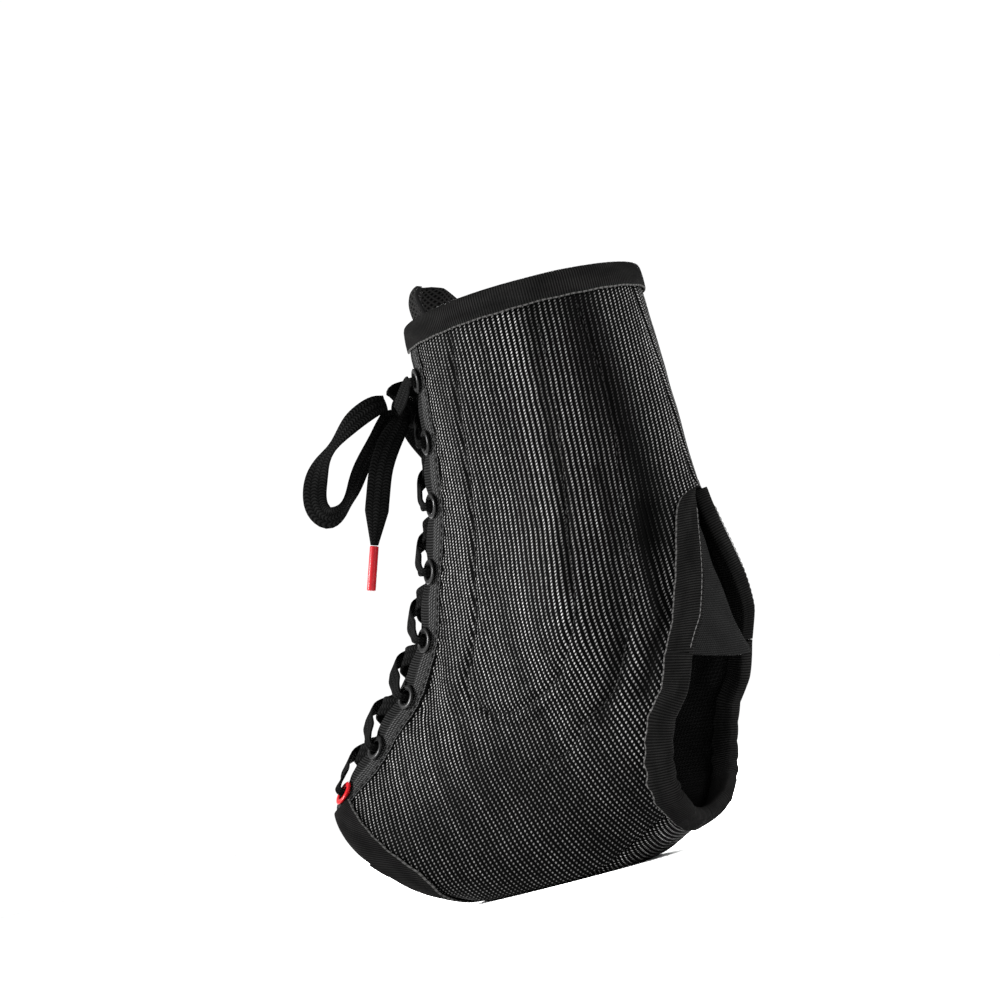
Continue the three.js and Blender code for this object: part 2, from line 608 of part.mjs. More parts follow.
const half = { width: lerp(LACE_GATHERED, LACE_WIDTH, 0.6), thick: LACE_THICK * 1.2 };
const full = { width: LACE_WIDTH, thick: LACE_THICK };
function strand(fromRow, toRow, side, raise) {
  const v0 = EYELET_ROWS[fromRow];
  const v1 = EYELET_ROWS[toRow];
  const a = eyeletU(v0);
  const b = eyeletU(v1);
  const e0 = facingEdge(v0);
  const e1 = facingEdge(v1);
  const at = (t) => lerp(v0, v1, t);
  const stations = [
    { v: v0, u: a, n: -FACING_WALL * 0.6, ...g },
    { v: v0, u: a, n: overFlange * 0.55, ...g },
    { v: v0, u: a - 1.0, n: overFlange + 0.25, ...g },
    { v: at(0.06), u: e0 + 2.2, n: overFlange + 0.1, ...half },
    { v: at(0.16), u: e0 - 2.0, n: overFlange * 0.8, ...full },
    { v: at(0.30), u: e0 * 0.5, n: 0.9 + raise, ...full },
    { v: at(0.46), u: 1.5, n: 0.7 + raise, ...full },
    { v: at(0.60), u: -e1 * 0.36, n: 0.7 + raise, ...full },
    { v: at(0.68), u: -e1 * 0.56, n: 0.5 + raise, ...full },
    { v: at(0.76), u: -e1 * 0.78, n: -1.9, ...full },
    { v: at(0.83), u: -e1 + 0.2, n: underFacing, ...half },
    { v: at(0.94), u: -b + 2.6, n: underFacing, ...g },
    { v: v1, u: -b + 0.4, n: underFacing + 0.1, ...g },
  ];
  return stations.map((s) => ({ ...s, u: s.u * side }));
}
const bottom = EYELET_ROWS.length - 1;
const KNOT_ROW = EYELET_ROWS[0] * 0.65 + EYELET_ROWS[1] * 0.35;
const knotLift = overFlange + LACE_THICK + KNOT_SIZE[1] / 2;
const knotCentre = under(KNOT_ROW, 0, knotLift);

// One half of the lace, from the middle of the bar up to the knot
function laceHalf(name, side) {
  const v = EYELET_ROWS[bottom];
  const barOut = [0.02, 0.26, 0.44, 0.58, 0.80, 0.97].map((t) => ({
    v,
    u: side * t * (eyeletU(v) - 0.4),
    n: lerp(-0.8, underFacing, clamp((t - 0.26) / 0.32, 0, 1)),
    ...(t > 0.5 ? g : half),
  }));
  const stations = [...barOut];
  for (let i = 0; i < bottom; i += 1) {
    const turn = i % 2 === 0 ? side : -side;
    stations.push(...strand(bottom - i, bottom - i - 1, turn, (turn > 0) ? LACE_THICK + 3.2 * CLEAR : 0));
  }
  const end = bottom % 2 === 0 ? side : -side;
  const v8 = EYELET_ROWS[0];
  const e8 = facingEdge(v8);
  const reach = KNOT_SIZE[0] / 2 + CLEAR;
  stations.push(
    { v: v8, u: end * eyeletU(v8), n: -FACING_WALL * 0.6, ...g },
    { v: v8, u: end * eyeletU(v8), n: overFlange * 0.55, ...g },
    { v: v8, u: end * (eyeletU(v8) - 1), n: overFlange + 0.25, ...g },
    { v: v8, u: end * (e8 + 2), n: overFlange + 0.6, ...half },
    { v: lerp(v8, KNOT_ROW, 0.5), u: end * e8 * 0.8, n: lerp(overFlange, knotLift, 0.55), ...full },
    { v: KNOT_ROW, u: end * (reach + 0.8), n: knotLift, width: LACE_WIDTH * 0.75, thick: LACE_THICK },
  );
  return laceThrough(name, stations);
}
add(laceHalf('lace_run_left', 1));
add(laceHalf('lace_run_right', -1));

const knotShape = new THREE.SphereGeometry(0.5, 12, 8);
knotShape.scale(...KNOT_SIZE);
const knotBare = knotShape.clone();
knotBare.deleteAttribute('normal');
knotBare.deleteAttribute('uv');
const knotGeometry = mergeVertices(knotBare, 1e-4);
knotGeometry.computeVertexNormals();
const knot = new THREE.Mesh(knotGeometry, laceCloth());
knot.name = 'bow_knot';
knot.position.copy(knotCentre);
add(knot);

// Free laces of the bow: routes from the knot, drawn for a knot at ROUTE_KNOT and carried along
// with the knot, and the way the flat of the lace faces on each route
const ROUTE_KNOT = [0, -22.5, 188.3];
const LOOP_LEFT = [
  [5.4, -27.6, 192.8], [9.4, -31, 192.6], [14.2, -37.5, 189.3], [18.7, -44.4, 183.4], [23.2, -51.1, 176.7],
  [25.9, -55.3, 168.1], [26.7, -56.4, 160.5], [25.0, -54.0, 155.5], [21.6, -49.6, 156.5], [18.5, -45.0, 162],
  [15.0, -39.5, 171], [11.0, -33.0, 179.5], [6.4, -30.0, 185.4], [3.6, -28.9, 187.4],
];
const END_LEFT = [
  [6.4, -22.5, 184.4], [12.5, -26.5, 177], [17.0, -30.5, 168], [19.5, -34.0, 157], [21.2, -37.0, 147],
  [22.2, -39.0, 140.4],
];
const LOOP_RIGHT = [
  [-3.4, -27.8, 194.8], [-9, -28.4, 197], [-17, -24, 197], [-26, -15, 193.5], [-33, -5, 186], [-40, 4, 179], [-44, 11, 170],
  [-45.5, 14, 161.5], [-44.5, 13, 155.5], [-41.5, 8.5, 155.5], [-38, 1.5, 161], [-33, -6, 168.5],
  [-26, -15.5, 177.5], [-17, -23, 184.5], [-10, -29, 187.5], [-5.4, -29.4, 188.6],
];
const END_RIGHT = [
  [-4.2, -25.0, 182.2], [-10.5, -24.5, 176.5], [-16, -22.5, 168], [-20.5, -20.5, 158], [-23, -21, 148],
  [-24.5, -22.5, 140.4],
];
const FACES_LEFT = [0.84, 0.54, 0.05];
const FACES_RIGHT = [-0.84, -0.54, 0.05];

const fromKnot = ([x, y, z]) => knotCentre.clone().add(
  new THREE.Vector3(x - ROUTE_KNOT[0], y - ROUTE_KNOT[1], z - ROUTE_KNOT[2]));

// A route whose frames keep the flat of the lace facing one way
class FlatRoute extends THREE.CatmullRomCurve3 {
  constructor(points, faces) {
    super(points.map(fromKnot), false, 'centripetal');
    this.faces = new THREE.Vector3(...faces);
  }

  computeFrenetFrames(segments) {
    const tangents = [];
    const normals = [];
    const binormals = [];
    for (let i = 0; i <= segments; i += 1) {
      const t = this.getTangentAt(i / segments);
      const b = this.faces.clone().addScaledVector(t, -this.faces.dot(t)).normalize();
      tangents.push(t);
      binormals.push(b);
      normals.push(new THREE.Vector3().crossVectors(b, t));
    }
    return { tangents, normals, binormals };
  }
}
function freeLace(name, points, faces, steps) {
  const shape = new THREE.Shape(LACE_FLAT.map(([a, b]) => new THREE.Vector2(a * CORD_WIDTH, b * CORD_THICK)));
  const route = new FlatRoute(points, faces);
  const extruded = new THREE.ExtrudeGeometry(shape, { steps, extrudePath: route, bevelEnabled: false });
  extruded.deleteAttribute('normal');
  extruded.deleteAttribute('uv');
  const geometry = mergeVertices(extruded, 1e-4);
  geometry.computeVertexNormals();
  const mesh = new THREE.Mesh(geometry, laceCloth());
  mesh.name = name;
  return add(mesh);
}
freeLace('bow_loop_left', LOOP_LEFT, FACES_LEFT, 26);
freeLace('bow_loop_right', LOOP_RIGHT, FACES_RIGHT, 26);
freeLace('lace_end_left', END_LEFT, FACES_LEFT, 10);
freeLace('lace_end_right', END_RIGHT, FACES_RIGHT, 10);

// Aglets on the two lace ends
function aglet(name, points) {
  const tip = fromKnot(points[points.length - 1]);
  const before = fromKnot(points[points.length - 2]);
  const way = tip.clone().sub(before).normalize();
  const geometry = new THREE.CylinderGeometry(AGLET_RADIUS, AGLET_RADIUS, AGLET_LENGTH, 10);
  const mesh = new THREE.Mesh(geometry, redPlastic());
  mesh.name = name;
  mesh.quaternion.setFromUnitVectors(along, way);
  mesh.position.copy(tip.clone().addScaledVector(way, AGLET_LENGTH / 2 + CLEAR));
  add(mesh);
}
aglet('aglet_left', END_LEFT);
aglet('aglet_right', END_RIGHT);

export default group;
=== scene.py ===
# %% [markdown]
# # Lace-up ankle brace
# This lesson dresses the plain solids of an ankle brace as cloth. The brace is a sock-shaped wall of
# woven fabric, laced over a padded tongue, with an open heel and a knit gusset behind the tendon.
# Every soft piece is made the way it is sewn: a flat grid is cut to the pattern and laid on one
# common body surface, so its UV map is the flat cloth in metres and a weave keeps its true size.
#
# The solids of the frame are loaded first. Each cloth piece made below stands in for one of them.

import json
import math

import bpy
import numpy as np
from mathutils import Matrix, Vector, kdtree, noise

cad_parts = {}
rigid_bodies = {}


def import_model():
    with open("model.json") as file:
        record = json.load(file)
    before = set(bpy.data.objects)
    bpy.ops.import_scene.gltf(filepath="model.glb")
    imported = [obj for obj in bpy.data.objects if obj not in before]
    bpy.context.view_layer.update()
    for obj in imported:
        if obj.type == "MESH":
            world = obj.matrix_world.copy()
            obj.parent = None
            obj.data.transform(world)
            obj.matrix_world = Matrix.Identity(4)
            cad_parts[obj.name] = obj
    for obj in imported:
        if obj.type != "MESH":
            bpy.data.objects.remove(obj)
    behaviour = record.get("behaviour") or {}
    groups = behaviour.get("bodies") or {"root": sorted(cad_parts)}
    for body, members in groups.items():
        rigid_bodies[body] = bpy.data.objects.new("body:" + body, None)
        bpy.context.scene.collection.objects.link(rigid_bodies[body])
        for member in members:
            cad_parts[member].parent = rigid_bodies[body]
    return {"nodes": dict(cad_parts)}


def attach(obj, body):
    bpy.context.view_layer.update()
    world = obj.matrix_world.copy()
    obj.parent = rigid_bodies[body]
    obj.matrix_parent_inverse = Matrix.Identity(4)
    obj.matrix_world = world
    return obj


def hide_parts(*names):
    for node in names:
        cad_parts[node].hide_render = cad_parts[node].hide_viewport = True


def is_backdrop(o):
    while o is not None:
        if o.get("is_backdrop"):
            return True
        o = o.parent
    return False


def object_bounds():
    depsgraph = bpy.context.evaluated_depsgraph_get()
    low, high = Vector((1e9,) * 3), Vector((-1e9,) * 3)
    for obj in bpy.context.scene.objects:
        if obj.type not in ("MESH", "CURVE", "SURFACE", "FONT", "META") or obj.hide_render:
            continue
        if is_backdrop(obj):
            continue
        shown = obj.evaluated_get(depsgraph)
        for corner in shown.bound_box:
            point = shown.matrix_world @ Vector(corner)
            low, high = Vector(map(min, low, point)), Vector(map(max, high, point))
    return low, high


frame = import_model()
cad_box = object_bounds()
scene = bpy.context.scene
MM = 0.001
print("CAD nodes:", len(frame["nodes"]))

# %% [markdown]
# ## Camera
# A camera can be set by eye or worked out from points that are easy to find in the picture. Here it
# was worked out from eyelets, tape corners and seam ends, because only then do folds and seams land
# where they should. It stands low beside the heel and leans by 15 degrees.

# %% Camera
YAW, PITCH, ROLL = (math.radians(a) for a in (115.22, 5.114, 15.066))
ahead = Vector((-math.sin(YAW) * math.cos(PITCH), math.cos(YAW) * math.cos(PITCH), math.sin(PITCH)))
level = Vector((math.cos(YAW), math.sin(YAW), 0))
lift = level.cross(ahead)
right = level * math.cos(ROLL) - lift * math.sin(ROLL)
up = lift * math.cos(ROLL) + level * math.sin(ROLL)
camera_data = bpy.data.cameras.new("camera")
camera_data.lens = 103.42
camera_data.sensor_width = 36
camera_data.sensor_fit = "HORIZONTAL"
camera_data.clip_start = 0.01
camera = bpy.data.objects.new("camera", camera_data)
turned = Matrix((right, up, -ahead)).transposed().to_4x4()
camera.matrix_world = Matrix.Translation((0.9813, 0.4684, 0.0476)) @ turned
scene.collection.objects.link(camera)
scene.camera = camera
print("camera at", tuple(round(x, 3) for x in camera.matrix_world.translation))

# %% [markdown]
# ## The body surface
# A brace takes its form from the ankle in it. Panels, tapes and tongue could each be shaped alone,
# but then they would cut through one another. So one surface carries every piece. Its sections fan
# out from the top edge (v = 0) round the ankle to the foot edge (v = 11), and u runs in millimetres
# round each section from the front line. The sizes and the tables are those of the solids, so cloth
# and solids lie in the same place.

# %% Sizes in millimetres
HEIGHT, DEPTH, LEG_WIDTH = 216, 186, 83
MALLEOLUS_RISE, SOLE_BLEND = 5, 2.5
WALL, FACING_WALL, TAPE, TAPE_WIDTH, CLEAR, CURVE_SLACK = 2.4, 2.7, 0.8, 9.2, 0.35, 0.2
TONGUE_THICK, GUSSET_THICK = 3, 1.3
LACE_WIDTH, LACE_THICK, LACE_GATHERED, LACE_BUNCHED = 7.4, 1.1, 3.4, 1.9
GAP_HALF_TOP, GAP_HALF_FOOT, FACING_WIDTH, EYELET_INSET = 15, 11.5, 15, 7
EYELET_RADIUS, EYELET_BARREL, EYELET_RIM = 4.9, 2.9, 1.1
HEEL_FLARE, SEAM_FROM_CENTRE = 6.5, 24
TONGUE_HALF_WIDTH, TONGUE_ABOVE_RIM, TONGUE_LEAN = 27, 15, 5
CORD_WIDTH, AGLET_LENGTH, AGLET_RADIUS = 9.5, 17, 1.7
print("body:", HEIGHT, "high,", DEPTH, "long,", LEG_WIDTH, "wide")

# %% Sections from the rim to the foot edge
# Front y and z, back y and z, half width, where it is widest, roundness in front and behind
SECTIONS = np.array([
    [-0.051, 1.000, 0.438, 0.995, 1.000, 0.50, 1.85, 2.00],
    [-0.072, 0.866, 0.446, 0.840, 0.940, 0.50, 1.80, 2.00],
    [-0.103, 0.755, 0.452, 0.720, 0.892, 0.52, 1.75, 1.90],
    [-0.141, 0.650, 0.454, 0.604, 0.867, 0.55, 1.70, 1.80],
    [-0.188, 0.558, 0.462, 0.484, 0.916, 0.58, 1.65, 1.75],
    [-0.226, 0.495, 0.481, 0.343, 0.916, 0.60, 1.60, 1.85],
    [-0.271, 0.444, 0.508, 0.208, 0.892, 0.60, 1.60, 2.10],
    [-0.320, 0.400, 0.465, 0.088, 0.867, 0.60, 1.60, 2.30],
    [-0.368, 0.361, 0.290, 0.046, 0.892, 0.60, 1.60, 2.40],
    [-0.411, 0.319, 0.091, -0.019, 0.916, 0.58, 1.60, 2.50],
    [-0.452, 0.280, -0.118, -0.021, 0.940, 0.56, 1.65, 2.50],
    [-0.489, 0.238, -0.245, 0.020, 0.964, 0.55, 1.70, 2.50]])
LAST = len(SECTIONS) - 1
print("sections:", len(SECTIONS))

# %% Folds, heel opening and eyelet rows
# Folds: place along, place round, reach along, reach round, rise
FOLDS = [[4.3, 0.80, 0.8, 0.030, -1.3], [4.8, 0.735, 0.9, 0.035, 1.2], [5.0, 0.665, 1.0, 0.030, -1.2],
         [1.4, 0.640, 1.3, 0.030, 0.9], [1.6, 0.750, 1.6, 0.060, -1.0], [6.3, 0.230, 0.8, 0.035, 1.4],
         [6.6, 0.160, 0.8, 0.030, -1.0], [8.4, 0.560, 0.9, 0.080, -0.9]]
# Half the width of the heel opening, as a share of the leg's width, at places v
HEEL_EDGE = np.array([
    [3.10, 0.006], [3.14, 0.040], [3.25, 0.064], [3.50, 0.086], [4.00, 0.148], [4.40, 0.205], [4.90, 0.288],
    [5.40, 0.402], [5.90, 0.492], [6.30, 0.578], [6.60, 0.600], [6.90, 0.585], [7.20, 0.518], [7.50, 0.398],
    [7.68, 0.289]])
HEEL_END, FLAP_SPLIT, SOLE_BACK = 7.68, 5.35, 7.95
EYELET_ROWS = [0.70, 1.60, 2.60, 3.70, 5.25, 6.90, 8.60, 10.30]
print("eyelet rows:", len(EYELET_ROWS))


# %% Curve through the sections
def catmull(p0, p1, p2, p3, f):
    """A smooth curve from p1 to p2 that heeds the points before and after."""
    return (p0 * (-0.5 * f + f * f - 0.5 * f ** 3) + p1 * (1 - 2.5 * f * f + 1.5 * f ** 3)
            + p2 * (0.5 * f + 2 * f * f - 1.5 * f ** 3) + p3 * (-0.5 * f * f + 0.5 * f ** 3))


def section_at(v):
    """The section's eight numbers at any place between the table's rows."""
    i = np.clip(np.floor(v).astype(int), 0, LAST - 1)
    f = (v - i)[:, None]
    p1, p2 = SECTIONS[i], SECTIONS[i + 1]
    p0 = np.where((i == 0)[:, None], 2 * p1 - p2, SECTIONS[np.maximum(i - 1, 0)])
    p3 = np.where((i == LAST - 1)[:, None], 2 * p2 - p1, SECTIONS[np.minimum(i + 2, LAST)])
    out = catmull(p0, p1, p2, p3, f)
    return np.where(f < 0, p1 + (p2 - p1) * f, np.where(f > 1, p2 + (p2 - p1) * (f - 1), out))


# %% [markdown]
# Working out an outline for every vertex would be slow. So the half outlines are made once on a fine
# ladder of places v, each resampled at equal steps round it. `body` then reads any point between
# them, also past the back line on the other side.

# %% Ladder of half outlines
V0, DV, STEPS = -1.2, 0.02, 240
# Places, as shares of depth and height, and the reach of the ankle bone's bump
BONE_Y, BONE_Z, BONE_REACH = 0.21, 0.426, 0.093


def outlines():
    """Half outlines at equal steps, and the length of each."""
    v = np.arange(V0, LAST + 0.7, DV)
    s = section_at(v)
    a = np.linspace(0, math.pi, 201)[None, :]
    fy, fz, by, bz, half, widest, rf, rb = (s[:, k:k + 1] for k in range(8))
    e = np.where(np.cos(a) > 0, rf, rb)
    down = np.sign(np.cos(a)) * np.abs(np.cos(a)) ** (2 / e)
    across = np.clip(np.sin(a), 0, 1) ** (2 / e)
    t = np.where(np.cos(a) > 0, widest - widest * down, widest - (1 - widest) * down)
    y = DEPTH * (fy + (by - fy) * t)
    z = HEIGHT * (fz + (bz - fz) * t)
    z = np.where(z <= -SOLE_BLEND, 0, np.where(z >= SOLE_BLEND, z, (z + SOLE_BLEND) ** 2 / (4 * SOLE_BLEND)))
    x = LEG_WIDTH / 2 * half * across
    far = ((y - DEPTH * BONE_Y) ** 2 + (z - HEIGHT * BONE_Z) ** 2) / (HEIGHT * BONE_REACH) ** 2
    x = x + MALLEOLUS_RISE * np.exp(-far) * np.minimum(1, x / (LEG_WIDTH * 0.3))
    pts = np.stack([x, y, z], -1)
    steps = np.linalg.norm(np.diff(pts, axis=1), axis=2)
    run = np.concatenate([np.zeros((len(v), 1)), np.cumsum(steps, 1)], 1)
    table = np.empty((len(v), STEPS + 1, 3))
    for r in range(len(v)):
        want = np.linspace(0, run[r, -1], STEPS + 1)
        for c in range(3):
            table[r, :, c] = np.interp(want, run[r], pts[r, :, c])
    return table, run[:, -1]


TABLE, LENGTHS = outlines()
print("outlines and steps:", TABLE.shape[:2])


# %% Reading the body surface
def length_at(v):
    """Half the way round the body at v."""
    return np.interp(np.asarray(v, float), V0 + DV * np.arange(len(LENGTHS)), LENGTHS)


def body(v, u):
    """The point of the plain body at place v, u millimetres from the front line."""
    v, u = np.broadcast_arrays(np.asarray(v, float), np.asarray(u, float))
    r = (v - V0) / DV
    i = np.clip(np.floor(r).astype(int), 0, len(LENGTHS) - 2)
    f = r - i
    length = LENGTHS[i] * (1 - f) + LENGTHS[i + 1] * f
    d, side = np.abs(u), np.where(u < 0, -1.0, 1.0)
    past = d > length
    d, side = np.where(past, 2 * length - d, d), np.where(past, -side, side)
    k = d / length * STEPS
    j = np.clip(np.floor(k).astype(int), 0, STEPS - 1)
    f, g = f[..., None], (k - j)[..., None]
    here = TABLE[i, j] * (1 - f) + TABLE[i + 1, j] * f
    after = TABLE[i, j + 1] * (1 - f) + TABLE[i + 1, j + 1] * f
    p = here * (1 - g) + after * g
    return p * np.stack([side, np.ones_like(side), np.ones_like(side)], -1)


def normal_of(surface, v, u):
    """The outward direction, from small steps along and round the surface."""
    dv = surface(np.asarray(v) + 0.05, u) - surface(np.asarray(v) - 0.05, u)
    du = surface(v, np.asarray(u) + 1.2) - surface(v, np.asarray(u) - 1.2)
    n = np.cross(dv, du)
    return n / np.linalg.norm(n, axis=-1, keepdims=True)


def speed_at(v, u):
    """Millimetres along the surface for one step of v."""
    ahead_of, behind = body(np.asarray(v) + 0.04, u), body(np.asarray(v) - 0.04, u)
    return np.linalg.norm(ahead_of - behind, axis=-1) / 0.08


print("leg round the rim:", round(2 * float(length_at(0))), "mm")


# %% [markdown]
# Cloth under tension isn't smooth: it folds at the bend of the ankle and flares beside the heel
# opening. Sculpting would do it, but soft bumps in a formula stay on the surface and move the tapes
# with the cloth. `cloth` is the body with its folds, `skin` a point at a height off it, and `under`
# the same off the plain body, for what lies below the folds.


# %% Folds and flare
def heel_edge(v):
    """How far the heel opening reaches from the back line."""
    return LEG_WIDTH * np.interp(v, HEEL_EDGE[:, 0], HEEL_EDGE[:, 1])


def relief(v, u):
    """How high the cloth stands off the body: folds, and the flare beside the opening."""
    length = length_at(v)
    share = np.abs(u) / length
    rise = 0
    for at, place, reach_along, reach_round, height in FOLDS:
        rise = rise + height * np.exp(-((v - at) / reach_along) ** 2 - ((share - place) / reach_round) ** 2)
    to_edge = length - np.abs(u) - heel_edge(v)
    window = np.exp(-((v - 4.85) / np.where(v < 4.85, 1.15, 0.75)) ** 2)
    return rise + HEEL_FLARE * window * np.exp(-(np.maximum(to_edge, -4) / 11) ** 2)


def cloth(v, u):
    """The body with its folds, flat where it stands."""
    v, u = np.broadcast_arrays(np.asarray(v, float), np.asarray(u, float))
    rise = np.where((v > 0) & (v < LAST), relief(v, u), 0)
    p = body(v, u) + normal_of(body, v, u) * rise[..., None]
    p[..., 2] = np.maximum(p[..., 2], 0)
    return p


def skin(v, u, n):
    """A point n millimetres above the cloth."""
    return cloth(v, u) + normal_of(cloth, v, u) * np.asarray(n)[..., None]


def under(v, u, n):
    """A point n millimetres above the plain body."""
    return body(v, u) + normal_of(body, v, u) * np.asarray(n)[..., None]


def facing_edge(v):
    """Half the gap between the facings."""
    return GAP_HALF_TOP + (GAP_HALF_FOOT - GAP_HALF_TOP) * np.clip(np.asarray(v, float) / LAST, 0, 1)


print("highest cloth point:", round(float(cloth(0, 0)[2]), 1), "mm")

# %% [markdown]
# ## Making a piece from a flat grid
# A sewn piece starts as flat cloth. It could be modelled in place and unwrapped afterwards, but the
# unwrap would stretch the weave. So `lay` starts from Blender's own grid, moves its vertices onto a
# surface, and writes the flat cloth into the UV map. `wrap` welds the first and last column, for a
# lace or a tape folded round an edge, and `thicken` gives a single layer its wall, with a lining
# where one is named.


# %% Selecting, editing, joining
def only(*obs):
    """Selects these objects alone; the first one becomes active."""
    bpy.ops.object.select_all(action="DESELECT")
    for ob in obs:
        ob.select_set(True)
    bpy.context.view_layer.objects.active = obs[0]


def joined_up(*obs):
    """Joins the objects into the first one."""
    only(*obs)
    bpy.ops.object.join()
    return bpy.context.object


def edit(ob, *steps):
    """Runs steps in edit mode on the whole mesh."""
    only(ob)
    bpy.ops.object.mode_set(mode="EDIT")
    bpy.ops.mesh.select_all(action="SELECT")
    for step in steps:
        step()
    bpy.ops.object.mode_set(mode="OBJECT")


def apply_all(ob):
    only(ob)
    for m in list(ob.modifiers):
        bpy.ops.object.modifier_apply(modifier=m.name)


# %% Laying a grid on a surface
def lay(name, points, flat, flip=True, wrap=False, marks=None):
    """A grid moved to the points, with the flat cloth as its UV map and marks as attributes."""
    rows, cols = points.shape[:2]
    bpy.ops.object.select_all(action="DESELECT")
    bpy.ops.mesh.primitive_grid_add(x_subdivisions=cols - 1, y_subdivisions=rows - 1, size=2)
    ob = bpy.context.object
    ob.name = ob.data.name = name
    me = ob.data
    co = np.empty(len(me.vertices) * 3, np.float32)
    me.vertices.foreach_get("co", co)
    co = co.reshape(-1, 3)
    j = np.rint((co[:, 0] + 1) / 2 * (cols - 1)).astype(int)
    i = np.rint((co[:, 1] + 1) / 2 * (rows - 1)).astype(int)
    me.vertices.foreach_set("co", (points[i, j] * MM).astype(np.float32).ravel())
    corner = np.empty(len(me.loops), np.int32)
    me.loops.foreach_get("vertex_index", corner)
    layer = me.uv_layers[0] if me.uv_layers else me.uv_layers.new()
    layer.name = "cloth"
    layer.data.foreach_set("uv", (flat[i, j] * MM)[corner].astype(np.float32).ravel())
    for key, values in (marks or {}).items():
        me.attributes.new(key, "FLOAT", "POINT").data.foreach_set("value", values[i, j].astype(np.float32))
    if flip:
        me.flip_normals()
    me.update()
    if wrap:
        edit(ob, lambda: bpy.ops.mesh.remove_doubles(threshold=1e-6),
             lambda: bpy.ops.mesh.fill_holes(sides=0),
             lambda: bpy.ops.mesh.normals_make_consistent(inside=False))
    return ob


# %% Wall, finish and mirror
def thicken(ob, wall, inner=None):
    """A wall inwards; inner is the outer material and the lining."""
    m = ob.modifiers.new("wall", "SOLIDIFY")
    m.thickness = wall * MM
    m.offset = -1
    if inner:
        for material in inner:
            ob.data.materials.append(material)
        m.material_offset = m.material_offset_rim = 1
    apply_all(ob)


def finish(ob, node, slot, *materials, angle=50):
    """Smooths a piece, gives its materials, hides the solid it stands for and hangs it on the root body."""
    only(ob)
    bpy.ops.object.shade_smooth_by_angle(angle=math.radians(angle))
    for m in materials:
        ob.data.materials.append(m)
    if node:
        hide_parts(*([node] if isinstance(node, str) else node))
    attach(ob, "root")
    return ob


def mirror_copy(ob, name):
    """The same piece for the other side, with its own mesh."""
    copy = ob.copy()
    copy.data = ob.data.copy()
    copy.name = copy.data.name = name
    scene.collection.objects.link(copy)
    copy.data.transform(Matrix.Diagonal((-1, 1, 1, 1)))
    copy.data.flip_normals()
    return copy


# %% Lines and lengths
def run_of(points):
    """Length from the first point to each one along a line."""
    return np.concatenate([[0], np.cumsum(np.linalg.norm(np.diff(points, axis=0), axis=1))])


def down_columns(points):
    """Length from the first row down every column of a grid, for the flat cloth."""
    steps = np.linalg.norm(np.diff(points, axis=0), axis=-1)
    return np.concatenate([np.zeros((1, points.shape[1])), np.cumsum(steps, 0)])


def smooth_rows(rows, per):
    """A smooth curve through the rows, per steps between each two."""
    rows = np.asarray(rows, float)
    padded = np.concatenate([2 * rows[:1] - rows[1:2], rows, 2 * rows[-1:] - rows[-2:-1]])
    out = [catmull(padded[k], padded[k + 1], padded[k + 2], padded[k + 3], f)
           for k in range(len(rows) - 1) for f in np.arange(per) / per]
    return np.array(out + [rows[-1]])


def even(points, step):
    """The same line at even steps; columns past the third go along."""
    run = run_of(points[:, :3])
    want = np.linspace(0, run[-1], max(2, int(round(run[-1] / step)) + 1))
    return np.stack([np.interp(want, run, points[:, c]) for c in range(points.shape[1])], 1)


# %% [markdown]
# ## Materials
# A photograph of cloth could be laid on, but it would carry its own light and stretch. Here each
# cloth is drawn by nodes that read the flat pattern in millimetres from the UV map, so ribs and
# yarns have their true pitch. A small class keeps the networks short: every call adds one node and
# returns its output.


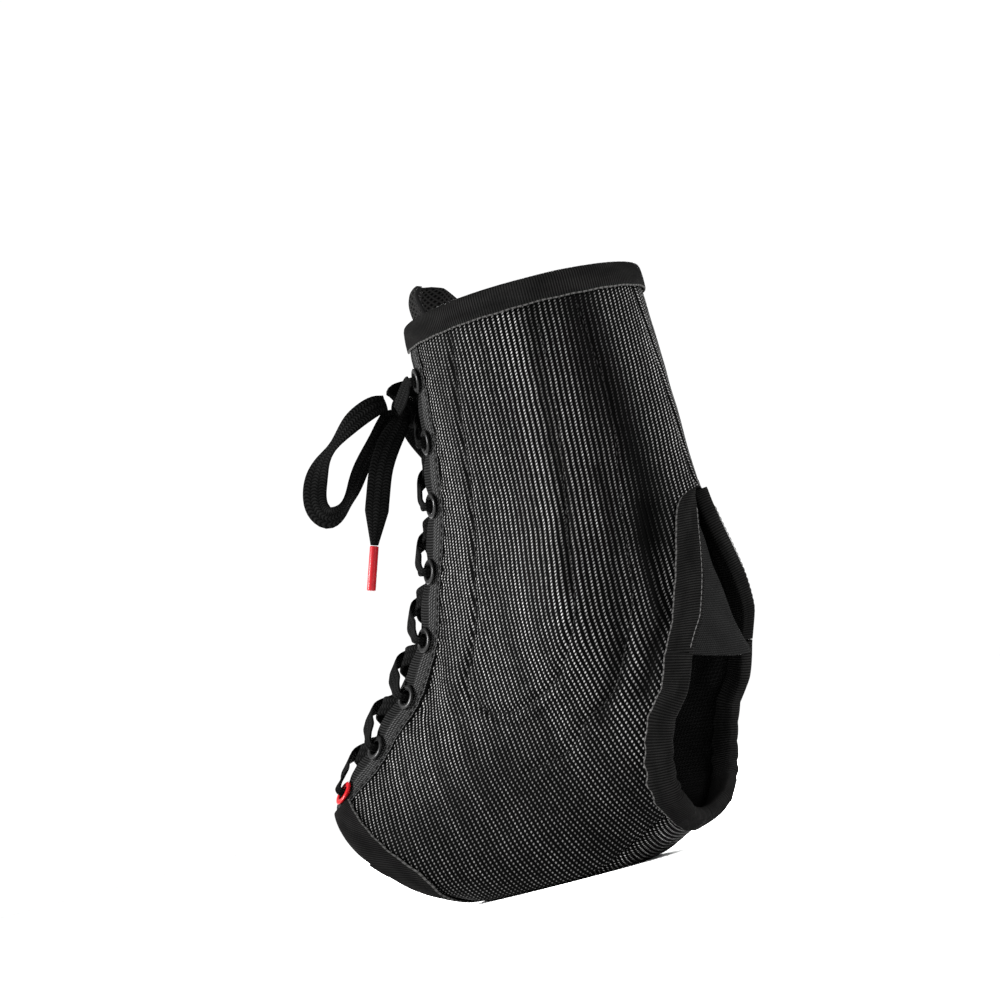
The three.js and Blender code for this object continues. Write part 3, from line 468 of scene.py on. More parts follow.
# %% Node helpers
class Cloth:
    """One material and its nodes."""
    def __init__(self, name, rough=0.6, specular=0.35):
        self.material = bpy.data.materials.new(name)
        self.material.use_nodes = True
        self.tree = self.material.node_tree
        self.shader = self.tree.nodes["Principled BSDF"]
        self.shader.inputs["Roughness"].default_value = rough
        self.shader.inputs["Specular IOR Level"].default_value = specular

    def node(self, kind, **props):
        n = self.tree.nodes.new(kind)
        for k, value in props.items():
            setattr(n, k, value)
        return n

    def join(self, value, socket):
        """Links an output to a socket, or sets a plain value on it."""
        if isinstance(value, bpy.types.NodeSocket):
            self.tree.links.new(value, socket)
        else:
            socket.default_value = value

    def math(self, operation, *values, clamp=False):
        n = self.node("ShaderNodeMath", operation=operation, use_clamp=clamp)
        for k, value in enumerate(values):
            self.join(value, n.inputs[k])
        return n.outputs[0]

    def flat(self):
        """Millimetres across and along the flat cloth, from the UV map."""
        uv = self.node("ShaderNodeUVMap", uv_map="cloth").outputs[0]
        parts = self.node("ShaderNodeSeparateXYZ")
        self.join(uv, parts.inputs[0])
        return [self.math("MULTIPLY", parts.outputs[k], 1000.0) for k in (0, 1)]

    def place(self):
        return self.node("ShaderNodeTexCoord").outputs["Object"]

    def point(self, x, y, z=0.0):
        n = self.node("ShaderNodeCombineXYZ")
        for k, value in enumerate((x, y, z)):
            self.join(value, n.inputs[k])
        return n.outputs[0]

    def noise(self, vector, scale, detail=2.0, rough=0.5):
        n = self.node("ShaderNodeTexNoise")
        self.join(vector, n.inputs["Vector"])
        n.inputs["Scale"].default_value = scale
        n.inputs["Detail"].default_value = detail
        n.inputs["Roughness"].default_value = rough
        return n.outputs["Fac"]

    def chance(self, vector):
        """An even random value for each cell."""
        n = self.node("ShaderNodeTexWhiteNoise", noise_dimensions="2D")
        self.join(vector, n.inputs["Vector"])
        return n.outputs["Value"]

    def span(self, value, lo, hi, to_lo=0.0, to_hi=1.0, smooth=True):
        """Maps lo to hi onto another range and clips it."""
        n = self.node("ShaderNodeMapRange", interpolation_type="SMOOTHSTEP" if smooth else "LINEAR")
        for k, x in enumerate((value, lo, hi, to_lo, to_hi)):
            self.join(x, n.inputs[k])
        return n.outputs[0]

    def mix(self, fac, a, b):
        n = self.node("ShaderNodeMix", data_type="RGBA")
        for socket, value in ((n.inputs[0], fac), (n.inputs[6], a), (n.inputs[7], b)):
            self.join(value, socket)
        return n.outputs[2]

    def wave(self, x, pitch, sharp=1.0):
        """0 in the groove, 1 on the crest of a rib."""
        c = self.math("COSINE", self.math("MULTIPLY", x, 2 * math.pi / pitch))
        half = self.math("MULTIPLY_ADD", c, 0.5, 0.5)
        return half if sharp == 1 else self.math("POWER", half, sharp)

    def mark(self, name):
        """A point attribute of the piece."""
        return self.node("ShaderNodeAttribute", attribute_name=name).outputs["Fac"]

    def done(self, colour, height=None, depth=0.3, rough=None):
        """Sets the colour, the relief in millimetres and the gloss."""
        self.join(colour, self.shader.inputs["Base Color"])
        if rough is not None:
            self.join(rough, self.shader.inputs["Roughness"])
        if height is not None:
            bump = self.node("ShaderNodeBump")
            bump.inputs["Strength"].default_value = 1.0
            bump.inputs["Distance"].default_value = depth * MM
            self.join(height, bump.inputs["Height"])
            self.tree.links.new(bump.outputs[0], self.shader.inputs["Normal"])
        return self.material


def grey(x, warm=0.0):
    return (x * (1 + warm), x, x * (1 - warm), 1)


# %% [markdown]
# ### The main weave
# The cloth is a warp knit of shiny yarns: ropes 2 mm apart with black grooves between them, and on
# each rope short slanted beads of thread 1.15 mm apart. Modelling each bead would take millions of
# faces, so a cell pattern finds the rope and the row, and draws one bead in each cell. The bead
# pattern is the knit's own, but its grey is painted sheen of the shiny black yarn, for the material
# itself reflects almost nothing. Each bead and each rope gets its own strength of painted sheen, long
# streaks run down the ropes, and the panel's painted shade darkens them in the furrows, along the
# stitches and towards the lower rear.


# %% Weave
def weave(name, rope=2.0, dash=1.15, slant=1.1, bright=0.26, turned=False):
    """Beads on ropes. x runs across the rope and y along the bead, both from -0.5 to 0.5."""
    c = Cloth(name, rough=0.6, specular=0.004)
    s, t = c.flat()
    if turned:
        s, t = t, s
    warp = c.noise(c.point(s, t), 0.09, 1.0)
    s = c.math("MULTIPLY_ADD", warp, 0.7, s)
    column = c.math("DIVIDE", s, rope)
    which = c.math("FLOOR", column)
    x = c.math("SUBTRACT", c.math("SUBTRACT", column, which), 0.5)
    q = c.math("ADD", c.math("DIVIDE", t, dash), c.math("MULTIPLY", x, -slant))
    q = c.math("MULTIPLY_ADD", which, 0.37, q)
    row = c.math("FLOOR", q)
    y = c.math("SUBTRACT", c.math("SUBTRACT", q, row), 0.5)
    off_rope = c.math("ABSOLUTE", c.math("MULTIPLY", x, 3.9))
    across = c.math("SUBTRACT", 1.0, c.math("POWER", off_rope, 2.0), clamp=True)
    along = c.math("SUBTRACT", 1.0, c.math("ABSOLUTE", c.math("MULTIPLY", y, 2.5)), clamp=True)
    bead = c.math("MULTIPLY", across, along)
    height = c.math("ADD", c.math("MULTIPLY", across, 0.55), c.math("MULTIPLY", bead, 0.45))
    # Painted sheen: each bead and each rope gets its own random strength of it
    luck = c.span(c.chance(c.point(which, row)), 0.0, 1.0, 0.55, 1.15, smooth=False)
    rope_luck = c.span(c.chance(c.point(which, 3.5)), 0.0, 1.0, 0.72, 1.12, smooth=False)
    long = c.noise(c.point(c.math("MULTIPLY", s, 0.11), c.math("MULTIPLY", t, 0.012)), 1.0, 3.0, 0.6)
    # The beads' grey is painted sheen of the shiny yarn, dimmed where the panel has painted shade
    shine = c.math("MULTIPLY", c.math("MULTIPLY", c.math("POWER", bead, 1.8), luck), rope_luck)
    shine = c.math("MULTIPLY", shine, c.span(long, 0.3, 0.7, 0.6, 1.15))
    shine = c.math("MULTIPLY", shine, c.math("SUBTRACT", 1.0, c.mark("painted_shade")))
    colour = c.mix(shine, grey(0.0004), grey(bright, 0.01))
    fuzz = c.noise(c.place(), 2200.0, 2.0)
    height = c.math("MULTIPLY_ADD", fuzz, 0.1, height)
    return c.done(colour, height, depth=0.4)


WEAVE = weave("woven_cloth")
SOLE_WEAVE = weave("sole_cloth", rope=1.7, dash=1.2, turned=True)
print("weave nodes:", len(WEAVE.node_tree.nodes))


# %% [markdown]
# ### Tape and facing
# Grosgrain tape has ribs across it and a pale, stitched lip along its edge. The facing is ribbed
# next to the lacing and a fine grid beside the panel. Ribs are plain cosine waves along the flat
# cloth: they are even on the real tape too, so nothing finer is needed. Slow noise wears them.


# %% Tape and facing cloth
def tape_cloth():
    """Ribs across the tape, and a stitched lip where the mark says so."""
    c = Cloth("ribbed_tape", rough=0.75, specular=0.004)
    across, along = c.flat()
    rib = c.wave(along, 1.0, 0.7)
    edge = c.span(c.mark("lip"), 0.7, 0.95)
    worn = c.noise(c.point(c.math("MULTIPLY", across, 0.2), c.math("MULTIPLY", along, 0.06)), 1.0, 3.0)
    base = c.mix(c.math("MULTIPLY", rib, c.span(worn, 0.3, 0.7, 0.45, 1.0)), grey(0.0006), grey(0.0052, 0.02))
    stitch = c.wave(along, 2.3, 0.35)
    colour = c.mix(c.math("MULTIPLY", edge, stitch), base, grey(0.03, 0.02))
    fuzz = c.noise(c.place(), 1800.0, 3.0)
    return c.done(colour, c.math("MULTIPLY_ADD", fuzz, 0.35, rib), depth=0.22)


def facing_cloth():
    """Ribs near the lacing, a fine grid near the panel."""
    c = Cloth("facing_strip", rough=0.65, specular=0.004)
    across, along = c.flat()
    ribs = c.wave(along, 1.05, 0.7)
    slanted = c.math("MULTIPLY_ADD", across, 0.5, along)
    grid = c.math("MULTIPLY", c.wave(across, 1.35, 0.6), c.wave(slanted, 1.25, 0.7))
    beside = c.span(across, 6.6, 7.8)
    plain = c.math("SUBTRACT", 1.0, beside)
    rise = c.math("ADD", c.math("MULTIPLY", ribs, plain), c.math("MULTIPLY", grid, beside))
    lit = c.math("MULTIPLY", rise, c.span(beside, 0.0, 1.0, 0.22, 1.0))
    fuzz = c.noise(c.place(), 2000.0, 2.0)
    return c.done(c.mix(lit, grey(0.0005), grey(0.03)), c.math("MULTIPLY_ADD", fuzz, 0.3, rise), depth=0.3)


TAPE_CLOTH, FACING = tape_cloth(), facing_cloth()
print("tape and facing cloth made")


# %% [markdown]
# ### Knit, tongue and lace
# The gusset and the lining are fine knits, rows of small Vs. The tongue is a spacer mesh with
# slanted holes and a plain rolled rim, and the lace a flat braid of chevrons. All three are waves
# along slanted lines, because a wave is cheap and never repeats at the wrong size.


# %% Knit, tongue and lace cloth
def knit_cloth(name, colour, pitch=0.85):
    """Rows of small Vs."""
    c = Cloth(name, rough=0.8, specular=0.004)
    across, along = c.flat()
    stitch = c.math("FRACT", c.math("DIVIDE", across, pitch * 1.1))
    lean = c.math("ABSOLUTE", c.math("SUBTRACT", stitch, 0.5))
    rows = c.wave(c.math("ADD", along, c.math("MULTIPLY", lean, pitch)), pitch, 0.8)
    cloud = c.noise(c.point(c.math("MULTIPLY", across, 0.1), c.math("MULTIPLY", along, 0.1)), 1.0, 3.0)
    fac = c.math("MULTIPLY", rows, c.span(cloud, 0.25, 0.75, 0.55, 1.0))
    fuzz = c.noise(c.place(), 2400.0, 3.0)
    height = c.math("MULTIPLY_ADD", fuzz, 0.4, rows)
    return c.done(c.mix(fac, grey(colour * 0.25), grey(colour)), height, depth=0.16)


def tongue_cloth():
    """A net of slanted threads, with a plain rolled rim."""
    c = Cloth("tongue_cloth", rough=0.75, specular=0.004)
    across, along = c.flat()
    a = c.wave(c.math("MULTIPLY_ADD", across, 0.7, along), 2.1, 0.8)
    b = c.wave(c.math("MULTIPLY_ADD", across, -0.7, along), 2.1, 0.8)
    net = c.math("MAXIMUM", a, b)
    rim = c.span(c.mark("edge"), 0.78, 0.86)
    rise = c.math("MAXIMUM", net, rim)
    colour = c.mix(c.math("POWER", net, 2.0), grey(0.0006), grey(0.006, 0.02))
    colour = c.mix(rim, colour, grey(0.0025))
    fuzz = c.noise(c.place(), 2000.0, 3.0)
    return c.done(colour, c.math("MULTIPLY_ADD", fuzz, 0.25, rise), depth=0.35)


def lace_cloth():
    """Chevrons in three lanes."""
    c = Cloth("flat_lace", rough=0.7, specular=0.004)
    across, along = c.flat()
    wing = c.math("ABSOLUTE", c.math("SINE", c.math("MULTIPLY", across, math.pi / 2.4)))
    rib = c.wave(c.math("MULTIPLY_ADD", wing, 0.9, along), 1.25, 0.8)
    lane = c.math("POWER", wing, 0.5)
    rise = c.math("MULTIPLY", rib, lane)
    cloud = c.noise(c.place(), 60.0, 3.0)
    fuzz = c.noise(c.place(), 2200.0, 3.0)
    fac = c.math("MULTIPLY", rise, c.span(cloud, 0.3, 0.7, 0.5, 1.0))
    return c.done(c.mix(fac, grey(0.0006), grey(0.0046)), c.math("MULTIPLY_ADD", fuzz, 0.3, rise), depth=0.22)


TONGUE, LACE = tongue_cloth(), lace_cloth()
KNIT, LINING = knit_cloth("gusset_knit", 0.0065), knit_cloth("lining_knit", 0.004, 1.2)
print("knit, tongue and lace cloth made")


# %% [markdown]
# ### Enamel, plastic and thread
# Eyelets are lacquered metal, the lowest pair and the lace tips red. The paint is even, so it needs
# only a little wear in its colour and gloss. Thread is twisted yarn, too thin for more than noise.


# %% Enamel, plastic and thread
def enamel(name, colour, dark):
    """Even paint with a little wear in colour and gloss."""
    c = Cloth(name, rough=0.36, specular=0.06)
    wear = c.noise(c.place(), 420.0, 4.0)
    c.shader.inputs["Coat Weight"].default_value = 0.015
    c.shader.inputs["Coat Roughness"].default_value = 0.08
    colour = c.mix(c.span(wear, 0.4, 0.75), colour, dark)
    return c.done(colour, wear, depth=0.03, rough=c.span(wear, 0.3, 0.8, 0.3, 0.45))


def thread(name, tone):
    """Twisted yarn."""
    c = Cloth(name, rough=0.6, specular=0.03)
    strands = c.noise(c.place(), 1500.0, 3.0)
    return c.done(c.mix(strands, grey(tone * 0.35), grey(tone, 0.02)), strands, depth=0.12)


BLACK_ENAMEL = enamel("black_enamel", grey(0.0012), grey(0.003))
RED_ENAMEL = enamel("red_enamel", (0.15, 0.0022, 0.0035, 1), (0.12, 0.0018, 0.003, 1))
RED_PLASTIC = enamel("red_plastic", (0.13, 0.004, 0.006, 1), (0.105, 0.003, 0.005, 1))
DARK_THREAD, PALE_THREAD = thread("dark_thread", 0.005), thread("pale_thread", 0.05)
print("materials:", len(bpy.data.materials))

# %% [markdown]
# ## Side panels
# Each side of the brace is one padded panel from the rim to the foot edge. Two flat stays lie in
# pockets between lines of stitches: the cloth sinks along the lines and swells a little beside
# them, and furrows run between the pockets. Painted shade darkens the weave along the lines, in
# the furrows and towards the lower rear. A cloth simulation could swell the padding, but it would
# pull the panel off the tapes and the facing sewn to it. So the panel is laid on the body surface
# and every swell, furrow and pucker is a small move along its normal.

# %% Lines of stitches on the panels
# Places (v, u) along the pockets: the front one from the front line, the rear one from the back line
STAY_FRONT = [(0.3, 54), (1.3, 49), (2.7, 47.6), (4.3, 50.6), (5.6, 49.2), (6.25, 50.6), (6.58, 58),
              (6.66, 67), (6.5, 77), (6.1, 86.5), (5.6, 93.5), (5.0, 97.8), (4.4, 97.8), (3.1, 88.7),
              (1.6, 88.5), (0.3, 89)]
STAY_BACK = [(0.3, 31), (1.9, 29.5), (3.9, 38), (4.8, 47), (6.0, 69), (6.5, 82), (7.1, 86), (7.7, 86.5)]


def line_places(rows, from_back=False):
    """Dense places along a line of stitches."""
    vu = smooth_rows(rows, 24)
    if from_back:
        vu[:, 1] = length_at(vu[:, 0]) - vu[:, 1]
    return vu


PANEL_LINES = [line_places(STAY_FRONT), line_places(STAY_BACK, True)]

# Furrows between the pockets, sunk and darkened by painted shade: half width, how much painted shade, how
# deep, then places (v, u)
FURROWS = [
    (2.2, 0.75, 0.7, [(0.14, 88.9), (0.9, 85.5), (2.2, 85.4), (3.3, 89.3), (4.3, 95.5)]),
    (11, 0.93, 0.6, [(0.02, 104.5), (0.8, 106), (1.4, 108.0), (1.95, 111), (2.6, 115.2), (3.2, 120),
                     (3.7, 123)]),
    (3.4, 0.75, 0.9, [(2.64, 100.2), (3.54, 106.8), (4.26, 111.9), (4.96, 115.4), (5.74, 113.1),
                      (6.4, 111)]),
    (4.2, 0.92, 1.2, [(3.3, 118.0), (4.09, 123.6), (4.81, 129.5), (5.41, 126.9), (5.9, 125.4)]),
    (1.2, 0.55, 0.4, [(0.3, 54), (1.14, 48.6), (2.67, 47.5), (4.34, 50.2), (5.6, 49.4)]),
    (1.0, 0.45, 0.4, [(5.6, 49.4), (6.46, 58.6), (6.8, 68), (6.75, 80), (6.2, 92)])]
print("stitch lines:", len(PANEL_LINES), "furrows:", len(FURROWS))


# %% Distance, puckers and cloth grain
def distance_to(lines, points):
    """Millimetres from each point to the nearest of the dense lines."""
    dense = np.concatenate(lines)
    tree = kdtree.KDTree(len(dense))
    for k, p in enumerate(dense):
        tree.insert(p, k)
    tree.balance()
    flat_points = points.reshape(-1, 3)
    return np.array([tree.find(p)[2] for p in flat_points]).reshape(points.shape[:2])


def eyelet_u(v):
    """Where the eyelets sit in the facing."""
    return facing_edge(v) + EYELET_INSET


SEAT_CENTRES = np.array([under(v, eyelet_u(v), 0) for v in EYELET_ROWS])


def puckers(points):
    """Cloth drawn in round each eyelet, with small folds running out from it."""
    rise = np.zeros(points.shape[:2])
    for k, centre in enumerate(SEAT_CENTRES):
        gap = points - centre
        r = np.linalg.norm(gap, axis=-1)
        angle = np.arctan2(gap[..., 2], gap[..., 1])
        small_folds = np.sin(9 * angle + 2.1 * k) * np.exp(-((r - 9.5) / 4.2) ** 2)
        rise += -0.55 * np.exp(-(r / 7) ** 2) + 0.34 * small_folds
    return rise


def grain(points, size, seed):
    """Soft, even unevenness of the given size, the same on each run."""
    flat_points = points.reshape(-1, 3) / size + seed
    return np.array([noise.noise(p) for p in flat_points]).reshape(points.shape[:2])


# %% Outline of the panel
# Cloth sinks this deep and this far from a seam
SEAM_DEPTH, SEAM_WIDTH = 0.9, 1.3


def seam_at(v):
    """The seam between panel and sole."""
    return length_at(v) - SEAM_FROM_CENTRE


def panel_back(v):
    """Rear edge: the back line, then the opening's tape, then the sole seam."""
    length = length_at(v)
    return np.where(v < 3.10, length,
                    np.where(v < HEEL_END + 0.04, length - heel_edge(v) - TAPE - CLEAR, seam_at(v)))


def panel_front(v):
    """Front edge, beside the facing."""
    return facing_edge(v) + FACING_WIDTH + CLEAR


v_top = (TAPE + CLEAR) / float(speed_at(0, 50))
# Rows and columns are closer where the heel opening turns
panel_v = np.concatenate([np.linspace(v_top, 2.95, 56), np.linspace(2.99, 3.32, 14),
                          np.linspace(3.37, 7.66, 92), [7.70, 7.74], np.linspace(7.80, LAST, 70)])
panel_share = np.concatenate([np.linspace(0, 0.90, 84), np.linspace(0.908, 1, 16)])
V = np.repeat(panel_v[:, None], len(panel_share), 1)
U = panel_front(V) + (panel_back(V) - panel_front(V)) * panel_share
inset = (TAPE + CLEAR) / speed_at(LAST, U[-1])
V[-1] = LAST - inset
V[-2] = np.minimum(V[-2], V[-1] - 0.02)
V[-3] = np.minimum(V[-3], V[-2] - 0.02)
U = panel_front(V) + (panel_back(V) - panel_front(V)) * panel_share
print("panel rows and columns:", V.shape)

# %% Swell, furrows and painted shade
smooth = skin(V, U, 0)
out = normal_of(cloth, V, U)
line_gap = distance_to([skin(vu[:, 0], vu[:, 1], 0) for vu in PANEL_LINES], smooth)
inside_edges = np.minimum(1, np.minimum(V - 0.3, LAST - 0.4 - V).clip(0) / 0.35)
to_opening = np.where((V > 3.0) & (V < 7.9), length_at(V) - heel_edge(V) - U, 99)
inside_edges *= np.clip((to_opening - TAPE_WIDTH) / 5, 0, 1)
wave = grain(smooth, 26, 3.1) * 0.55 + grain(smooth, 11, 8.7) * 0.22
sunk_line, swell_beside = np.exp(-(line_gap / 1.1) ** 2), np.exp(-((line_gap - 4) / 2.6) ** 2)
raised = inside_edges * (wave - 0.55 * sunk_line + 0.3 * swell_beside)
raised += np.minimum(puckers(smooth), 0.35) * np.minimum(1, (V - 0.2).clip(0) / 0.3)
# Painted shade along the sunk lines of stitches
painted_shade = 0.25 * np.exp(-(line_gap / 1.0) ** 2)
# Painted shade, darker towards the lower rear of the panel where less light falls
low = np.clip((V - 5.6) / 2.4, 0, 1) * np.clip((U / length_at(V) - 0.27) / 0.18, 0, 1)
painted_shade = np.maximum(painted_shade, 0.55 * low * low * (3 - 2 * low))
# Each furrow sinks the panel and adds painted shade to its weave
for half_width, dark, deep, places in FURROWS:
    vu = smooth_rows(places, 30)
    gap = distance_to([skin(vu[:, 0], vu[:, 1], 0)], smooth)
    shape = np.exp(-(gap / half_width) ** 2)
    painted_shade = painted_shade + (1 - painted_shade) * dark * shape
    raised -= inside_edges * deep * shape
to_seam = np.where((V < 3.05) | (V > 7.72), panel_back(V) - U, 99)
raised -= SEAM_DEPTH * np.exp(-(to_seam / SEAM_WIDTH) ** 2)
panel_points = smooth + out * raised[..., None]
panel_points[..., 2] = np.maximum(panel_points[..., 2], 0)
print("height off the surface:", round(float(raised.min()), 2), "to", round(float(raised.max()), 2), "mm")


# %% [markdown]
# The ropes of the weave run straight down the leg and bend round the ankle, as the panel was cut. A
# simple grid of UVs would squeeze them where the panel narrows. So a coarse copy without the opening
# is unwrapped by angle. The unwrap has arbitrary units: comparing its edges with the real ones gives
# the scale, and turning the leg's ropes upright gives the direction. The coarse pattern is then
# spread over the fine grid along smooth curves.


# %% Flat pattern of the panel
def pick(table, r, c):
    """Smooth values of a grid at fractional rows and columns."""
    big = np.concatenate([2 * table[:1] - table[1:2], table, 2 * table[-1:] - table[-2:-1]])
    big = np.concatenate([2 * big[:, :1] - big[:, 1:2], big, 2 * big[:, -1:] - big[:, -2:-1]], 1)
    i = np.clip(np.floor(r).astype(int), 0, table.shape[0] - 2)
    j = np.clip(np.floor(c).astype(int), 0, table.shape[1] - 2)
    f, g = (r - i)[..., None], (c - j)[..., None]
    rows = [catmull(*(big[i + a, j + b] for b in range(4)), g) for a in range(4)]
    return catmull(*rows, f)


def flat_pattern(row_v, columns):
    """The flat cloth, in millimetres, for a coarse grid of the whole half."""
    v = np.repeat(row_v[:, None], columns, 1)
    front = panel_front(v)
    few = skin(v, front + (length_at(v) - front) * np.linspace(0, 1, columns), 0)
    ob = lay("pattern_draft", few, few[..., :2] * 0)
    edit(ob, lambda: bpy.ops.uv.unwrap(method="ANGLE_BASED", margin=0.0))
    me = ob.data
    corner = np.empty(len(me.loops), np.int32)
    me.loops.foreach_get("vertex_index", corner)
    uv = np.empty(len(me.loops) * 2, np.float32)
    me.uv_layers[0].data.foreach_get("uv", uv)
    per_vertex = np.zeros((len(me.vertices), 2))
    per_vertex[corner] = uv.reshape(-1, 2)
    flat = per_vertex.reshape(len(row_v), columns, 2)
    bpy.data.objects.remove(ob, do_unlink=True)
    real = np.linalg.norm(np.diff(few, axis=1), axis=-1)
    drawn = np.linalg.norm(np.diff(flat, axis=1), axis=-1)
    flat = flat * (np.median(real) / np.median(drawn))
    down_leg = (flat[len(row_v) // 4] - flat[0]).mean(0)
    turn = -math.atan2(down_leg[0], -down_leg[1])
    c, s = math.cos(turn), math.sin(turn)
    flat = flat @ np.array([[c, -s], [s, c]]).T
    if (flat[0, -1] - flat[0, 0])[0] < 0:
        flat[..., 0] *= -1
    return flat


DRAFT_ROWS, DRAFT_COLUMNS = 45, 31
# Past the ankle the ropes bend towards the toes, then run on straight
BEND_BELOW, BEND_REACH, BEND = 120, 60, 0.0048
draft = flat_pattern(np.linspace(0, LAST, DRAFT_ROWS), DRAFT_COLUMNS)
share_of_half = (U - panel_front(V)) / (length_at(V) - panel_front(V))
panel_flat = pick(draft, V / LAST * (DRAFT_ROWS - 1), share_of_half * (DRAFT_COLUMNS - 1))
lower = (panel_flat[0, :, 1].mean() - panel_flat[..., 1] - BEND_BELOW).clip(0)
bent = np.where(lower < BEND_REACH, lower ** 2, BEND_REACH * (2 * lower - BEND_REACH))
panel_flat[..., 0] -= BEND * bent
print("flat panel:", [round(float(x)) for x in np.ptp(panel_flat, axis=(0, 1))], "mm")

# %% Side panel cloth
# The panel carries its painted shade as a point attribute, which the weave reads
panel = lay("side_cloth_left", panel_points, panel_flat, marks={"painted_shade": painted_shade})
thicken(panel, WALL, inner=(WEAVE, LINING))
other = mirror_copy(panel, "side_cloth_right")
for side, ob in (("left", panel), ("right", other)):
    finish(ob, f"side_panel_{side}", "weave")
print("side cloth faces:", len(panel.data.polygons))

# %% [markdown]
# ## Sole piece
# A strip of the same cloth runs under the foot from the heel opening to the toes, sewn to both
# panels. It could be part of the panels, but the seams show, and its weave runs across the foot. So
# it is a grid of its own, with its edges sunk at the seams and its underside flat where it stands.

# %% Sole
def sole_rear(share):
    """Rear edge of the sole, drawn forward on the centre line."""
    return SOLE_BACK + (HEEL_END - SOLE_BACK) * np.abs(share) ** 2.2


share = np.linspace(-1, 1, 49)[None, :]
down = np.linspace(0, 1, 90)[:, None]
back = share * SEAM_FROM_CENTRE
rear = sole_rear(share)
start = rear + (TAPE + CLEAR) / speed_at(rear, length_at(SOLE_BACK) - np.abs(back))
stop = LAST - (TAPE + CLEAR) / speed_at(LAST, length_at(LAST) - np.abs(back))
V = start + (stop - start) * down
U = length_at(V) - back
points = skin(V, U, 0)
lifted = -SEAM_DEPTH * np.exp(-((SEAM_FROM_CENTRE - np.abs(back)) / SEAM_WIDTH) ** 2) + 0.0 * V
points = points + normal_of(cloth, V, U) * lifted[..., None]
points[..., 2] = np.maximum(points[..., 2], 0)
sole = lay("sole_cloth_piece", points, np.stack([back + 0 * V, down_columns(points)], -1), flip=False)
if sum(p.normal.z for p in sole.data.polygons) > 0:
    sole.data.flip_normals()
thicken(sole, WALL, inner=(SOLE_WEAVE, LINING))
finish(sole, "sole_panel", "weave")
print("sole faces:", len(sole.data.polygons))

# %% [markdown]
# ## Facings and eyelets
# The facing is a stiff strip beside the lacing, with a hole for each eyelet. The lace draws it in at
# each eyelet and it bulges between them, so its edge waves. The wave could be sculpted, but tied to
# the eyelet rows it stays right when they move. The holes are cut with a boolean, because punched
# holes are round whatever the grid does.

# %% Facing strips
facing_rise = FACING_WALL - WALL
# Reach of the bulge from an eyelet and from the edge, and the seam to the panel
BULGE_REACH, EDGE_REACH, SEWN_AT = 11, 6.5, 11.5
facing_v = np.concatenate([np.linspace(v_top, 10.7, 240), np.linspace(10.74, LAST, 8)])
share = np.linspace(0, 1, 24)[None, :]
V = facing_v[:, None] + 0 * share
U = facing_edge(V) + FACING_WIDTH * share
end = LAST - (TAPE + CLEAR) / speed_at(LAST, U[-1])
V = np.minimum(V, end - 0.01 * np.arange(len(V))[::-1, None])
points = under(V, U, facing_rise)
out = normal_of(body, V, U)
mm_from = np.min([np.abs(V - v) * speed_at(V, U) for v in EYELET_ROWS], axis=0)
bulge = (1 - np.cos(np.clip(mm_from / BULGE_REACH, 0, 1) * math.pi)) / 2
from_edge = U - facing_edge(V)
near_edge = np.exp(-(from_edge / EDGE_REACH) ** 2)
ends = np.minimum(1, np.minimum(V - 0.25, LAST - 0.6 - V).clip(0) / 0.3)
rise = ends * near_edge * (1.15 * bulge - 0.35) + ends * 0.5 * np.minimum(puckers(points), 0.4)
rise -= 0.5 * ends * np.exp(-((from_edge - SEWN_AT) / 0.9) ** 2)
rise -= 0.8 * np.exp(-(from_edge / 0.8) ** 2)
pull = ends * near_edge * (0.7 * bulge)
points = under(V, U - pull, facing_rise) + out * rise[..., None]
facing = lay("facing_strip_left", points, np.stack([from_edge, down_columns(points)], -1))
thicken(facing, FACING_WALL - 0.1, inner=(FACING, LINING))
print("facing grid:", V.shape)

# %% Holes and seats for the eyelets
cutters, seats = [], []
for v in EYELET_ROWS:
    u = eyelet_u(v)
    n = Vector(normal_of(body, v, u))
    centre = Vector(under(v, u, facing_rise)) * MM
    seats.append(Matrix.Translation(centre) @ n.to_track_quat("Z", "Y").to_matrix().to_4x4())
    bpy.ops.object.select_all(action="DESELECT")
    bpy.ops.mesh.primitive_cylinder_add(vertices=24, radius=(EYELET_BARREL + 0.3) * MM, depth=12 * MM)
    bpy.context.object.data.transform(seats[-1])
    cutters.append(bpy.context.object)
drill = joined_up(*cutters)
hole = facing.modifiers.new("holes", "BOOLEAN")
hole.object, hole.operation, hole.solver = drill, "DIFFERENCE", "EXACT"
apply_all(facing)
bpy.data.objects.remove(drill, do_unlink=True)
other = mirror_copy(facing, "facing_strip_right")
for side, ob in (("left", facing), ("right", other)):
    finish(ob, f"eyelet_facing_{side}", "facing")
print("facing faces:", len(facing.data.polygons))

# %% [markdown]
# An eyelet is a tube of metal pressed through the cloth: a rolled ring outside, a barrel, and a
# smaller roll inside. Spinning a drawn section would make it too, but two tori and an open tube are
# quicker and already round. One is made, then copied to the sixteen seats, the other side by
# mirroring. The lowest pair is red.

# %% Eyelets
bpy.ops.object.select_all(action="DESELECT")
bpy.ops.mesh.primitive_torus_add(major_segments=36, minor_segments=12, major_radius=3.75 * MM,
                                 minor_radius=EYELET_RIM * MM)
ring = bpy.context.object
ring.data.transform(Matrix.Translation((0, 0, 0.85 * MM)) @ Matrix.Diagonal((1, 1, 0.62, 1)))
bpy.ops.mesh.primitive_torus_add(major_segments=36, minor_segments=8, major_radius=2.75 * MM,
                                 minor_radius=0.42 * MM)
roll = bpy.context.object
roll.data.transform(Matrix.Translation((0, 0, -(FACING_WALL + 0.3) * MM)))
bpy.ops.mesh.primitive_cylinder_add(vertices=36, radius=2.62 * MM, depth=3.6 * MM, end_fill_type="NOTHING")
barrel = bpy.context.object
barrel.data.transform(Matrix.Translation((0, 0, -1.3 * MM)))
tube_wall = barrel.modifiers.new("wall", "SOLIDIFY")
tube_wall.thickness, tube_wall.offset = 0.25 * MM, 0
apply_all(barrel)
joined_up(ring, roll, barrel)
